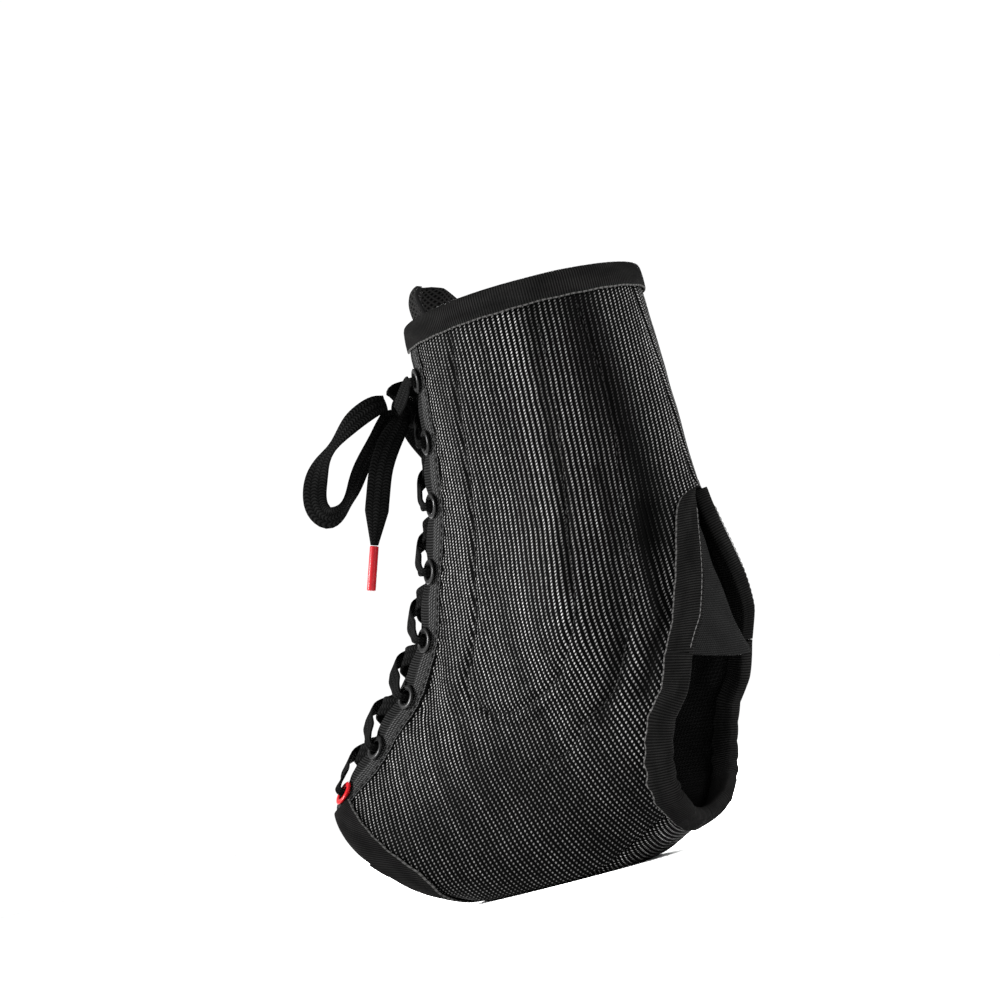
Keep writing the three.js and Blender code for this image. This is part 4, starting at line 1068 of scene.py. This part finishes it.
for k, seat in enumerate(seats):
    number = len(seats) - k
    red = number == 1
    for side in ("left", "right"):
        data = ring.data.copy()
        data.transform(seat)
        if side == "right":
            data.transform(Matrix.Diagonal((-1, 1, 1, 1)))
            data.flip_normals()
        ob = bpy.data.objects.new(f"rolled_eyelet_{side}_{number}", data)
        data.name = ob.name
        scene.collection.objects.link(ob)
        finish(ob, f"eyelet_{side}_{number}", "eyelet_red" if red else "eyelet_black",
               RED_ENAMEL if red else BLACK_ENAMEL, angle=60)
bpy.data.objects.remove(ring, do_unlink=True)
print("eyelets:", 2 * len(seats))

# %% [markdown]
# ## Binding tapes
# A ribbed tape is folded over each raw edge and sewn down. A curve with a bevel profile could draw
# it, but it would twist and wouldn't follow the cloth. So its section is given as distances inwards
# from the edge and heights off the cloth: along the outside, over the edge in a soft roll and back
# along the inside. `sweep_tape` carries that section round any edge of the body surface.


# %% Tape section
def tape_profile(wall, onto, puff=0.25, width=TAPE_WIDTH, roll=0.4):
    """Rows of inward distance, height off the cloth and how much of a lip it is."""
    top, low = onto + CLEAR + TAPE, -wall - CLEAR - CURVE_SLACK
    rows = [(width, onto + CLEAR + 0.05, 1), (width + 0.25, onto + CLEAR + 0.4, 1),
            (width + 0.1, top - 0.15, 1), (width - 0.25, top + 0.02, 0.9), (width - 0.6, top + 0.05, 0)]
    rows += [(d, top + puff * math.sin(math.pi * d / width), 0) for d in np.linspace(width - 1.9, 1.6, 7)]
    middle, half = (top + low - TAPE) / 2, (top - low + TAPE) / 2
    rows += [(1.1 - (1.1 + roll) * math.cos(a), middle + half * math.sin(a), 0)
             for a in np.linspace(1.25, -1.25, 9)]
    rows += [(d, low - TAPE, 0) for d in (2.5, 5.0, width * 0.82)]
    rows += [(width * 0.88, low - TAPE * 0.9, 0), (width * 0.9, low - TAPE * 0.5, 0),
             (width * 0.88, low, 0), (width * 0.5, low, 0), (TAPE + 0.2, low, 0),
             (TAPE, (onto + low) / 2, 0), (TAPE + 0.2, onto + CLEAR, 0), (width * 0.5, onto + CLEAR, 0)]
    return np.array(rows)


def folded_tape(name, points, profile):
    """Closes the section, and writes the flat tape and the mark of its pale lips."""
    points = np.concatenate([points, points[:, :1]], 1)
    around = run_of(profile[:, :2])
    around = np.append(around, around[-1] + 4)
    along = run_of(points[:, 10])
    rows, columns = points.shape[:2]
    flat = np.stack([np.repeat(around[None, :], rows, 0), np.repeat(along[:, None], columns, 1)], -1)
    lip = np.repeat(np.append(profile[:, 2], 1)[None, :], rows, 0)
    return lay(name, points, flat, wrap=True, marks={"lip": lip})


def sweep_tape(name, v, u, dv, du, profile, point_at, wobble=0.0, shrink=None):
    """Carries the section along an edge; dv, du is one millimetre inwards there."""
    d, n = profile[:, 0][None, :], profile[:, 1][None, :]
    k = np.arange(len(v))[:, None]
    d = d + wobble * (np.sin(k * 0.61) + 0.6 * np.sin(k * 0.23 + 1)) * (d > 3)
    if shrink is not None:
        d = np.where(d > TAPE, np.maximum(d * shrink[:, None], 1.4 * TAPE), d)
    points = point_at(v[:, None] + dv[:, None] * d, u[:, None] + du[:, None] * d, n + 0 * d)
    return folded_tape(name, points, profile)


# %% [markdown]
# The rim tape closes the top of both panels and facings, and the foot tape the front. Both cross the
# back line, so their skins continue u on the other side of the leg.


# %% Rim tape
rim_length = float(length_at(0))
u_half = np.linspace(float(facing_edge(0)), rim_length, 110)
u_rim = np.concatenate([u_half, 2 * rim_length - u_half[-2::-1]])
v_rim = np.zeros(len(u_rim))


def rim_skin(v, u, n):
    """The cloth near the rim, round the back line to the other side."""
    past = u > rim_length
    return skin(v, np.where(past, u + 2 * (length_at(v) - rim_length), u), n)


rim = sweep_tape("rim_tape", v_rim, u_rim, 1 / speed_at(0, u_rim), 0 * u_rim,
                 tape_profile(WALL, facing_rise), rim_skin, wobble=0.08)
finish(rim, "rim_binding", "tape", TAPE_CLOTH)

print("rim tape faces:", len(rim.data.polygons))

# %% Foot tape
foot_length = float(length_at(LAST))
seam_foot = float(seam_at(LAST))
edge_foot = float(facing_edge(LAST))


def foot_skin(v, u, n):
    """The cloth near the foot edge; the side and the sole keep their shares of it."""
    near = np.minimum(u, 2 * foot_length - u)
    here = length_at(v)
    on_side = facing_edge(v) + (seam_at(v) - facing_edge(v)) * (near - edge_foot) / (seam_foot - edge_foot)
    d = np.where(near > seam_foot, here - (foot_length - near), on_side)
    return skin(v, np.where(u > foot_length, 2 * here - d, d), n)


u_half = np.linspace(edge_foot + EYELET_INSET + EYELET_RADIUS + 2 * CLEAR, foot_length, 120)
u_foot = np.concatenate([u_half, 2 * foot_length - u_half[-2::-1]])
v_foot = np.full(len(u_foot), float(LAST))
foot = sweep_tape("foot_tape", v_foot, u_foot, -1 / speed_at(LAST, u_foot), 0 * u_foot,
                  tape_profile(WALL, facing_rise), foot_skin, wobble=0.1)
finish(foot, "foot_binding", "tape", TAPE_CLOTH)
print("foot tape faces:", len(foot.data.polygons))


# %% [markdown]
# The heel opening has three tapes: one down each upper flap, round at its top, and one round the
# lower part across the sole. A single closed loop would be simpler, but the real tapes meet in butt
# ends beside the gusset's hem. The lower one is made for the left half and mirrored, so it closes
# exactly on the centre line.


# %% Flap tapes
def inward(v, u, tv, tu):
    """One millimetre into the cloth from an edge that runs along (tv, tu)."""
    speed = speed_at(v, u)
    x, y = tv * speed, tu
    size = np.hypot(x, y)
    return y / size / speed, -x / size


def heel_places(v):
    """The opening's edge and its inward direction."""
    def edge(w):
        return length_at(w) - heel_edge(w)
    u = edge(v)
    dv, du = inward(v, u, 0.12, edge(v + 0.06) - edge(v - 0.06))
    return v, u, dv, du


heel_profile = tape_profile(WALL + CURVE_SLACK, 2 * CURVE_SLACK, puff=0.35)
v_flap = np.concatenate([3.15 + 0.35 * np.linspace(0, 1, 22) ** 1.6,
                         np.linspace(3.54, FLAP_SPLIT - 0.01, 60)])
shrink = np.sqrt(np.clip(1 - ((3.52 - v_flap).clip(0) / 0.385) ** 2, 0.02, 1))
u_flap = length_at(v_flap) - heel_edge(v_flap)
flap = sweep_tape("flap_tape_left", v_flap, u_flap, 0 * v_flap, -1 + 0 * v_flap, heel_profile, skin,
                  wobble=0.05, shrink=shrink)
other = mirror_copy(flap, "flap_tape_right")
for side, ob in (("left", flap), ("right", other)):
    finish(ob, f"gusset_binding_{side}", "tape", TAPE_CLOTH)
print("flap tape faces:", len(flap.data.polygons))

# %% Lower heel tape
lower = np.linspace(FLAP_SPLIT + 0.01, 7.52, 84)
v1, u1, dv1, du1 = heel_places(lower)
share = np.linspace(0.82, 0.0, 26)
v2 = sole_rear(share)
u2 = length_at(v2) - share * SEAM_FROM_CENTRE
near = 0.04
dv2, du2 = inward(v2, u2, sole_rear(share - near) - sole_rear(share + near), 2 * near * SEAM_FROM_CENTRE)
v, u, dv, du = (np.concatenate(x)[:, None] for x in ((v1, v2), (u1, u2), (dv1, dv2), (du1, du2)))
# The inward direction turns sharply at the sole, so it is averaged over nine places
dv = np.convolve(np.pad(dv[:, 0], 4, mode="edge"), np.ones(9) / 9, "valid")[:, None]
d, n = heel_profile[:, 0][None, :], heel_profile[:, 1][None, :]
steps = np.arange(len(v))[:, None]
low_part = np.clip((steps - 60) / 20, 0, 1)
d = d + (0.06 + 0.2 * low_part) * (np.sin(steps * 0.55) + 0.6 * np.sin(steps * 0.21 + 1)) * (d > 3)
d = d + 0.3 * low_part * np.sin(steps * 0.8) * (d < 1)
left_points = skin(v + dv * d, u + du * d, n + 0 * d)
left_points[-1, :, 0] = 0
right_points = left_points[-2::-1] * np.array([-1, 1, 1])
heel = folded_tape("heel_tape", np.concatenate([left_points, right_points]), heel_profile)
finish(heel, "heel_binding", "tape", TAPE_CLOTH)
print("heel tape faces:", len(heel.data.polygons))

# %% [markdown]
# ## Gusset and tongue
# The gusset is a single knit layer sewn in under the flaps, a little slack between them, with a
# thickened hem over the heel. It is one more grid on the body surface, a wall's depth inside it: a
# flat plane pushed into place would never meet both flaps.

# %% Gusset
GUSSET_TOP, GUSSET_HEM = 2.85, 5.3
share = np.linspace(-1, 1, 61)[None, :]
V = np.linspace(GUSSET_TOP, GUSSET_HEM, 70)[:, None] + 0 * share
half = heel_edge(V) + TAPE_WIDTH * 0.9
gusset_out = -WALL - TAPE - 3 * CLEAR
slack = -0.7 * (1 - share ** 2) ** 2 * np.clip((V - 3.4) / 1.2, 0, 1)
ripple = 0.25 * np.sin(V * 9 + share * 4) * (1 - share ** 2)
hem = 0.35 * np.exp(-((V - GUSSET_HEM + 0.06) / 0.05) ** 2)
points = under(V, length_at(V) - share * half, gusset_out + slack + ripple + hem)
gusset = lay("gusset_cloth", points, np.stack([share * half, down_columns(points)], -1), flip=False)
if sum(p.normal.y for p in gusset.data.polygons) < 0:
    gusset.data.flip_normals()
thicken(gusset, GUSSET_THICK)
finish(gusset, "heel_gusset", "knit", KNIT)
print("gusset faces:", len(gusset.data.polygons))

# %% [markdown]
# The tongue is a padded strip that fills the gap under the laces, with a rolled edge and a free top
# that leans forward. Two layers with a filling could be simulated, but it is pressed between leg and
# facings all the way down. So one closed loop round its section is laid row by row, thick in the
# middle and rolled at the sides, and softened a little by averaging.

# %% Tongue
top_share = TONGUE_ABOVE_RIM / float(speed_at(0, 0))
lace_room = LACE_BUNCHED / 2 + LACE_THICK / 2 + 3 * CLEAR
tongue_under = -WALL - lace_room - CLEAR - TAPE
around = np.linspace(0, 2 * math.pi, 97)
across = np.sign(np.cos(around)) * np.abs(np.cos(around)) ** 0.55
depth = np.sign(np.sin(around)) * np.abs(np.sin(around)) ** 0.75
rows = np.concatenate([-top_share + top_share * np.linspace(0, 1, 26) ** 1.5,
                       np.linspace(0.06, LAST - 0.35, 150)])
V = np.repeat(rows[:, None], len(around), 1)
above = np.clip(-V / top_share, 0, 1)
half = TONGUE_HALF_WIDTH * (1 - 0.93 * above ** 2.6) ** 0.5
U = across * half
k = np.clip(1 - (np.abs(U) / (facing_edge(V) - 3)) ** 2, 0, 1)
# Thinner towards the round top and the toe end
fat = np.where(above > 0.86, np.sqrt(np.clip(1 - ((above - 0.86) / 0.15) ** 2, 0.02, 1)), 1)
fat = fat * np.clip((LAST - 0.28 - V) / 0.3, 0.15, 1) ** 0.5
rise = tongue_under + (-1.4 - tongue_under) * k - TONGUE_THICK / 2 + depth * TONGUE_THICK / 2 * fat
points = sum(under(V, U + s * 6, rise) for s in (-1, -0.5, 0, 0.5, 1)) / 5
points[..., 1] -= TONGUE_LEAN * (above - 1.15 * above ** 4)
points[..., 2] += 1.5 * above ** 2
points = points + normal_of(body, V, U) * (0.25 * grain(points, 9, 5.5) * (1 - above))[..., None]
along = run_of(points[:, 24])
edge = np.maximum(np.abs(across) ** 3 + 0 * V, np.clip((above - 0.5) / 0.5, 0, 1) ** 2)
flat = np.stack([U, along[:, None] + 0 * U], -1)
tongue = lay("padded_tongue", points, flat, wrap=True, marks={"edge": edge})
finish(tongue, "tongue", "tongue_cloth", TONGUE)
print("tongue faces:", len(tongue.data.polygons))

# %% [markdown]
# ## Laces
# The lace is a flat braid, open where it lies free and bunched where it is drawn through an eyelet.
# It zigzags: through an eyelet, over the facing's edge, across the tongue and under the other
# facing. A curve object gives one section all along, so rings are laid instead: each has its own
# width, thickness and fold.

# %% Section of the lace
lace_u = np.linspace(0, 2 * math.pi, 17)


def lace_ring(centres, wide, width, thick, fold):
    """Rings of a flat lace: rounded edges, and folded in a wave across where it is bunched."""
    t = np.gradient(centres, axis=0)
    t /= np.linalg.norm(t, axis=1, keepdims=True)
    w = wide - t * (wide * t).sum(1, keepdims=True)
    w /= np.linalg.norm(w, axis=1, keepdims=True)
    h = np.cross(t, w)
    a = np.sign(np.cos(lace_u)) * np.abs(np.cos(lace_u)) ** 0.6 / 2
    b = np.sign(np.sin(lace_u)) * np.abs(np.sin(lace_u)) ** 0.8 / 2
    a, b = a[None, :], b[None, :]
    bend = fold[:, None] * np.sin(a * 2 * math.pi * 1.5 + 0.6)
    points = centres[:, None] + w[:, None] * (a * width[:, None])[..., None] \
        + h[:, None] * (b * thick[:, None] + bend)[..., None]
    along = run_of(centres)
    flat = np.stack([np.repeat(a * LACE_WIDTH + LACE_WIDTH / 2, len(centres), 0),
                     np.repeat(along[:, None], len(lace_u), 1)], -1)
    return points, flat


# %% One crossing
over_flange = facing_rise + CLEAR + EYELET_RIM + CLEAR + LACE_BUNCHED / 2
under_facing = -WALL - 2 * CLEAR - LACE_BUNCHED / 2 - 0.15
GATHERED = (LACE_GATHERED, LACE_BUNCHED)
HALF_OPEN = (LACE_GATHERED + (LACE_WIDTH - LACE_GATHERED) * 0.6, LACE_THICK * 1.2)
OPEN = (LACE_WIDTH, LACE_THICK)


def strand(lower_row, upper_row, side, raised):
    """Places (v, u, height, width, thickness) from one eyelet over to the next on the other side."""
    v0, v1 = EYELET_ROWS[lower_row], EYELET_ROWS[upper_row]
    a, b = float(eyelet_u(v0)), float(eyelet_u(v1))
    e0, e1 = float(facing_edge(v0)), float(facing_edge(v1))

    def at(t):
        return v0 + (v1 - v0) * t
    rows = [(v0, a, -FACING_WALL * 0.6, *GATHERED), (v0, a, over_flange * 0.55, *GATHERED),
            (v0, a - 1.0, over_flange + 0.25, *GATHERED), (at(0.06), e0 + 2.2, over_flange + 0.1, *HALF_OPEN),
            (at(0.16), e0 - 2.0, over_flange * 0.8, *OPEN), (at(0.30), e0 * 0.5, 0.9 + raised, *OPEN),
            (at(0.46), 1.5, 0.7 + raised, *OPEN), (at(0.60), -e1 * 0.36, 0.7 + raised, *OPEN),
            (at(0.68), -e1 * 0.56, 0.5 + raised, *OPEN), (at(0.76), -e1 * 0.78, -1.9, *OPEN),
            (at(0.83), -e1 + 0.2, under_facing, *HALF_OPEN), (at(0.94), -b + 2.6, under_facing, *GATHERED),
            (v1, -b + 0.4, under_facing + 0.1, *GATHERED)]
    return [(v, u * side, n, w, t) for v, u, n, w, t in rows]


# %% Laced part
knot_row = EYELET_ROWS[0] * 0.65 + EYELET_ROWS[1] * 0.35
knot_lift = over_flange + LACE_THICK + 5
bottom = len(EYELET_ROWS) - 1


def lace_run(name, side):
    """The whole laced part of one lace, from the lowest eyelets to the knot."""
    v = EYELET_ROWS[bottom]
    rows = []
    for t in (0.02, 0.26, 0.44, 0.58, 0.80, 0.97):
        n = -0.8 + (under_facing + 0.8) * min(max((t - 0.26) / 0.32, 0), 1)
        rows.append((v, side * t * (float(eyelet_u(v)) - 0.4), n, *(GATHERED if t > 0.5 else HALF_OPEN)))
    for i in range(bottom):
        turn = side if i % 2 == 0 else -side
        rows += strand(bottom - i, bottom - i - 1, turn, LACE_THICK + 3.2 * CLEAR if turn > 0 else 0)
    end = side if bottom % 2 == 0 else -side
    v8, u8, e8 = EYELET_ROWS[0], float(eyelet_u(EYELET_ROWS[0])), float(facing_edge(EYELET_ROWS[0]))
    rows += [(v8, end * u8, -FACING_WALL * 0.6, *GATHERED), (v8, end * u8, over_flange * 0.55, *GATHERED),
             (v8, end * (u8 - 1), over_flange + 0.25, *GATHERED),
             (v8, end * (e8 + 2), over_flange + 0.6, *HALF_OPEN),
             ((v8 + knot_row) / 2, end * e8 * 0.8, over_flange + (knot_lift - over_flange) * 0.55, *OPEN),
             (knot_row, end * 8.6, knot_lift, LACE_WIDTH * 0.75, LACE_THICK)]
    rows = np.array(rows)
    centres = under(rows[:, 0], rows[:, 1], rows[:, 2])
    wide = body(rows[:, 0] - 0.05, rows[:, 1]) - body(rows[:, 0] + 0.05, rows[:, 1])
    all_rows = smooth_rows(np.concatenate([centres, wide, rows[:, 3:]], 1), 5)
    centres, wide, width, thick = all_rows[:, :3], all_rows[:, 3:6], all_rows[:, 6], all_rows[:, 7]
    bunched = np.clip((LACE_WIDTH - width) / (LACE_WIDTH - LACE_GATHERED), 0, 1)
    points, flat = lace_ring(centres, wide, width, thick * (1 - 0.35 * bunched), 0.32 * bunched)
    return lay(name, points, flat, wrap=True)


for side, sign in (("left", 1), ("right", -1)):
    finish(lace_run(f"lace_strand_{side}", sign), f"lace_run_{side}", "lace", LACE)
print("laced part made")

# %% [markdown]
# ## Bow
# Above the top eyelets the laces are tied in a bow: on each side a loop leaves the knot, comes back
# through it and ends in a tip. A simulated ribbon would fall otherwise on every run, so each lace
# follows the route of its solids, as one cord. The ribbon turns gently as it goes, by a table of
# angles, so its flat face shows in some places and its edge in others.

# %% Bow routes
LOOP_LEFT = [[5.4, -27.6, 192.8], [9.4, -31, 192.6], [14.2, -37.5, 189.3], [18.7, -44.4, 183.4],
             [23.2, -51.1, 176.7], [25.9, -55.3, 168.1], [26.7, -56.4, 160.5], [25, -54, 155.5],
             [21.6, -49.6, 156.5], [18.5, -45, 162], [15, -39.5, 171], [11, -33, 179.5],
             [6.4, -30, 185.4], [3.6, -28.9, 187.4]]
END_LEFT = [[6.4, -22.5, 184.4], [12.5, -26.5, 177], [17, -30.5, 168], [19.5, -34, 157],
            [21.2, -37, 147], [22.2, -39, 140.4]]
LOOP_RIGHT = [[-3.4, -27.8, 194.8], [-9, -28.4, 197], [-17, -24, 197], [-26, -15, 193.5],
              [-33, -5, 186], [-40, 4, 179], [-44, 11, 170], [-45.5, 14, 161.5],
              [-44.5, 13, 155.5], [-41.5, 8.5, 155.5], [-38, 1.5, 161], [-33, -6, 168.5],
              [-26, -15.5, 177.5], [-17, -23, 184.5], [-10, -29, 187.5], [-5.4, -29.4, 188.6]]
END_RIGHT = [[-4.2, -25, 182.2], [-10.5, -24.5, 176.5], [-16, -22.5, 168], [-20.5, -20.5, 158],
             [-23, -21, 148], [-24.5, -22.5, 140.4]]
FACES_LEFT, FACES_RIGHT = np.array([0.84, 0.54, 0.05]), np.array([-0.84, -0.54, 0.05])
KNOT = np.array([0, -22.5, 188.3])
# Turn of the flat ribbon along its length: share of the length, degrees
TWIST_LEFT = [(0, 10), (0.08, 25), (0.17, 66), (0.27, 10), (0.34, 28), (0.40, 70), (0.47, 52),
              (0.6, 52), (0.68, 20), (0.76, 4), (0.9, 10), (1, 0)]
TWIST_RIGHT = [(0, 5), (0.1, 30), (0.22, 10), (0.34, 50), (0.42, 70), (0.5, 45), (0.62, 40),
               (0.72, 10), (0.85, 20), (1, 0)]


print("free laces:", [len(x) for x in (LOOP_LEFT, END_LEFT, LOOP_RIGHT, END_RIGHT)], "points")


# %% Tip and free lace
def aglet(name, route, node):
    """A lace tip at the end of its route."""
    tip, before = np.array(route[-1]), np.array(route[-2])
    way = Vector((tip - before) / np.linalg.norm(tip - before))
    bpy.ops.object.select_all(action="DESELECT")
    bpy.ops.mesh.primitive_cylinder_add(vertices=32, radius=AGLET_RADIUS * MM, depth=AGLET_LENGTH * MM)
    ob = bpy.context.object
    ob.name = ob.data.name = name
    bevel = ob.modifiers.new("bevel", "BEVEL")
    bevel.width, bevel.segments, bevel.limit_method = 0.35 * MM, 3, "ANGLE"
    apply_all(ob)
    edit(ob, lambda: bpy.ops.mesh.subdivide(number_cuts=1))
    centre = Vector(tip) * MM + way * (AGLET_LENGTH / 2 + CLEAR) * MM
    ob.data.transform(Matrix.Translation(centre) @ way.to_track_quat("Z", "Y").to_matrix().to_4x4())
    return finish(ob, node, "aglet", RED_PLASTIC, angle=40)


def free_lace(name, loop, tail, faces, nodes, turns):
    """One lace from the knot round its loop and down to its tip."""
    centres = even(smooth_rows(loop + tail, 12), 1.3)
    along = np.linspace(0, 1, len(centres))
    to_end = float(run_of(centres)[-1]) - run_of(centres)
    t = np.gradient(centres, axis=0)
    t /= np.linalg.norm(t, axis=1, keepdims=True)
    flat_face = faces - t * (t @ faces)[:, None]
    flat_face /= np.linalg.norm(flat_face, axis=1, keepdims=True)
    wide = np.cross(flat_face, t)
    knots = smooth_rows(turns, 8)
    twist = np.radians(np.interp(along, knots[:, 0], knots[:, 1]))
    wide = wide * np.cos(twist)[:, None] + flat_face * np.sin(twist)[:, None]
    from_knot = np.linalg.norm(centres - KNOT, axis=1)
    held = np.exp(-((from_knot - 4).clip(0) / 7) ** 2)
    close = np.clip(1 - to_end / 13, 0, 1)
    width = CORD_WIDTH * 0.96 * (1 - 0.35 * held) * (1 - close) + 3.0 * close
    thick = (0.95 + 0.9 * held) * (1 - close) + 2.6 * close
    points, flat = lace_ring(centres, wide, width, thick, 0.25 * (1 - close))
    ob = lay(name, points, flat, wrap=True)
    finish(ob, nodes, "lace", LACE)
    return ob


# %% Bow pieces
tip_left = aglet("lace_tip_left", END_LEFT, "aglet_left")
tip_right = aglet("lace_tip_right", END_RIGHT, "aglet_right")
free_lace("bow_lace_left", LOOP_LEFT + [[1.5, -25.0, 187.0]], END_LEFT, FACES_LEFT,
          ["bow_loop_left", "lace_end_left"], TWIST_LEFT)
free_lace("bow_lace_right", LOOP_RIGHT + [[-1.5, -25.5, 186.5]], END_RIGHT, FACES_RIGHT,
          ["bow_loop_right", "lace_end_right"], TWIST_RIGHT)


# %% [markdown]
# The knot is two short bands of the same lace, one wound tightly over the other. Real knots are a
# single tangle, but only these two turns show, and a closed ring is tidier than a hidden end.


# %% Knot
def knot_band(name, radius_y, radius_z, width, tilt, lean):
    """A closed band of lace round the knot."""
    a = np.linspace(0, 2 * math.pi, 49)
    ring_at = np.stack([lean * np.sin(a), radius_y * np.cos(a), radius_z * np.sin(a)], 1)
    c, s = math.cos(tilt), math.sin(tilt)
    spin = np.array([[c, 0, s], [0, 1, 0], [-s, 0, c]])
    centres = KNOT + ring_at @ spin.T
    wide = np.repeat((np.array([1.0, 0, 0]) @ spin.T)[None, :], len(a), 0)
    points, flat = lace_ring(centres, wide, np.full(len(a), width), np.full(len(a), 1.7), 0.3 + 0 * a)
    points[-1] = points[0]
    return lay(name, points, flat, wrap=True)


bands = [knot_band("knot_front", 4.0, 5.4, 7.6, 0.15, 1.2),
         knot_band("knot_under", 2.6, 3.9, 11.5, -0.5, 0.6)]
knot = joined_up(*bands)
knot.name = knot.data.name = "tied_knot"
finish(knot, "bow_knot", "lace", LACE)
print("bow made")

# %% [markdown]
# ## Stitches
# Every seam that shows has its thread, dark along the stays and the facing and pale along the flaps.
# A drawn line would lie flat in any light, and single stitches are too many to place by hand. So one
# small capsule, sunk at its ends, is repeated along each line, and a line is one mesh.


# %% Stitches
def stitch_line(name, centres, normals, slot, material, length=2.1, gap=1.0, radius=0.26, rise=0.08):
    """Single stitches along a line, joined into one mesh."""
    step = length + gap
    run = run_of(centres)
    count = int(run[-1] // step)
    bpy.ops.object.select_all(action="DESELECT")
    bpy.ops.mesh.primitive_uv_sphere_add(segments=8, ring_count=6, radius=1)
    seed = bpy.context.object
    co = np.empty(len(seed.data.vertices) * 3, np.float32)
    seed.data.vertices.foreach_get("co", co)
    co = co.reshape(-1, 3)
    faces = [list(p.vertices) for p in seed.data.polygons]
    bpy.data.objects.remove(seed, do_unlink=True)
    verts, polys = [], []
    for k in range(count):
        at = (k + 0.5) * step
        p = np.array([np.interp(at, run, centres[:, c]) for c in range(3)])
        q = np.array([np.interp(at + 0.5, run, centres[:, c]) for c in range(3)])
        n = np.array([np.interp(at, run, normals[:, c]) for c in range(3)])
        t = (q - p) / np.linalg.norm(q - p)
        b = np.cross(t, n)
        b /= np.linalg.norm(b)
        n = np.cross(b, t)
        local = co * np.array([length / 2, radius * 1.15, radius])
        sag = -0.22 * (co[:, 0:1] ** 2)
        verts.append(p + local[:, 0:1] * t + local[:, 1:2] * b + (local[:, 2:3] + rise + sag) * n)
        polys += [[i + k * len(co) for i in f] for f in faces]
    me = bpy.data.meshes.new(name)
    me.from_pydata((np.concatenate(verts) * MM).tolist(), [], polys)
    ob = bpy.data.objects.new(name, me)
    scene.collection.objects.link(ob)
    return finish(ob, None, slot, material, angle=180)


def both_sides(name, centres, normals, slot, material, **how):
    """The same line of stitches on both sides."""
    for side, sign in (("left", 1), ("right", -1)):
        flip = np.array([sign, 1, 1])
        stitch_line(f"{name}_{side}", centres * flip, normals * flip, slot, material, **how)


def seam_on(vu, height, surface=skin, base=cloth):
    """Even points of a seam and the directions off the cloth."""
    centres = surface(vu[:, 0], vu[:, 1], height + 0 * vu[:, 0])
    line = even(np.concatenate([centres, normal_of(base, vu[:, 0], vu[:, 1])], 1), 0.8)
    return line[:, :3], line[:, 3:]


# %% Lines of stitches
for vu, name in zip(PANEL_LINES, ("stay_seam_front", "stay_seam_back")):
    to_tape = length_at(vu[:, 0]) - heel_edge(vu[:, 0]) - vu[:, 1]
    vu = vu[(vu[:, 0] > 0.36) & ((to_tape > TAPE_WIDTH + 1) | (vu[:, 0] < 3.0))]
    both_sides(name, *seam_on(vu, -0.45), "weave", DARK_THREAD)
v = np.linspace(3.45, 5.3, 60)
fold = np.stack([v, length_at(v) - heel_edge(v) - 1.3], 1)
both_sides("flap_seam", *seam_on(fold, 2 * CURVE_SLACK + CLEAR + TAPE + 0.3), "tape", PALE_THREAD,
           radius=0.15, length=2.2, gap=0.02)
v = np.linspace(0.35, 10.6, 300)
joint = np.stack([v, facing_edge(v) + FACING_WIDTH - 1.3], 1)
both_sides("facing_seam", *seam_on(joint, facing_rise + 0.1, under, body), "facing", DARK_THREAD)
print("stitches made")

# %% [markdown]
# ## Floor and light
# A plain pale floor runs off to a white background. Black cloth shows its form only by what light
# grazes it, so the world gives an even fill, one soft light stands low in front, one behind and a
# weak one on the far side. Strong lamps from above would light the floor, and the floor would then
# light the cloth flat.

# %% Floor and light
bpy.ops.object.select_all(action="DESELECT")
bpy.ops.mesh.primitive_plane_add(size=12)
floor = bpy.context.object
floor.name = "floor"
paint = Cloth("floor_paint", rough=0.9, specular=0.1)
tone = paint.noise(paint.place(), 3.0, 2.0)
floor.data.materials.append(paint.done(paint.mix(tone, grey(0.95), grey(0.98))))
floor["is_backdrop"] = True

world = bpy.data.worlds.new("studio")
scene.world = world
world.use_nodes = True
world.node_tree.nodes["Background"].inputs[0].default_value = (1, 1, 1, 1)
world.node_tree.nodes["Background"].inputs[1].default_value = 1.03


def softbox(name, place, size, watts, target=(0, 0.01, 0.11)):
    """A round soft light that looks at the target."""
    data = bpy.data.lights.new(name, "AREA")
    data.shape, data.size, data.energy = "DISK", size, watts
    ob = bpy.data.objects.new(name, data)
    ob.location = place
    ob.rotation_euler = (Vector(target) - Vector(place)).to_track_quat("-Z", "Y").to_euler()
    scene.collection.objects.link(ob)


softbox("light_front", (0.8, -1.25, 0.62), 0.55, 150, (0, 0, 0.3))
softbox("light_far", (-1.25, -0.4, 0.7), 0.6, 45, (0, 0, 0.3))
softbox("light_back", (0.25, 1.35, 0.7), 0.4, 75, (0, 0, 0.35))
scene.view_settings.view_transform = "Standard"
print("lights:", len(bpy.data.lights))

# %% [markdown]
# ## Finish
# The boxes of the solids and of the dressed brace are gathered side by side.

# %% Finish
boxes = {"cad": cad_box, "visual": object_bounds()}
boxes = {name: [list(map(float, p)) for p in box] for name, box in boxes.items()}
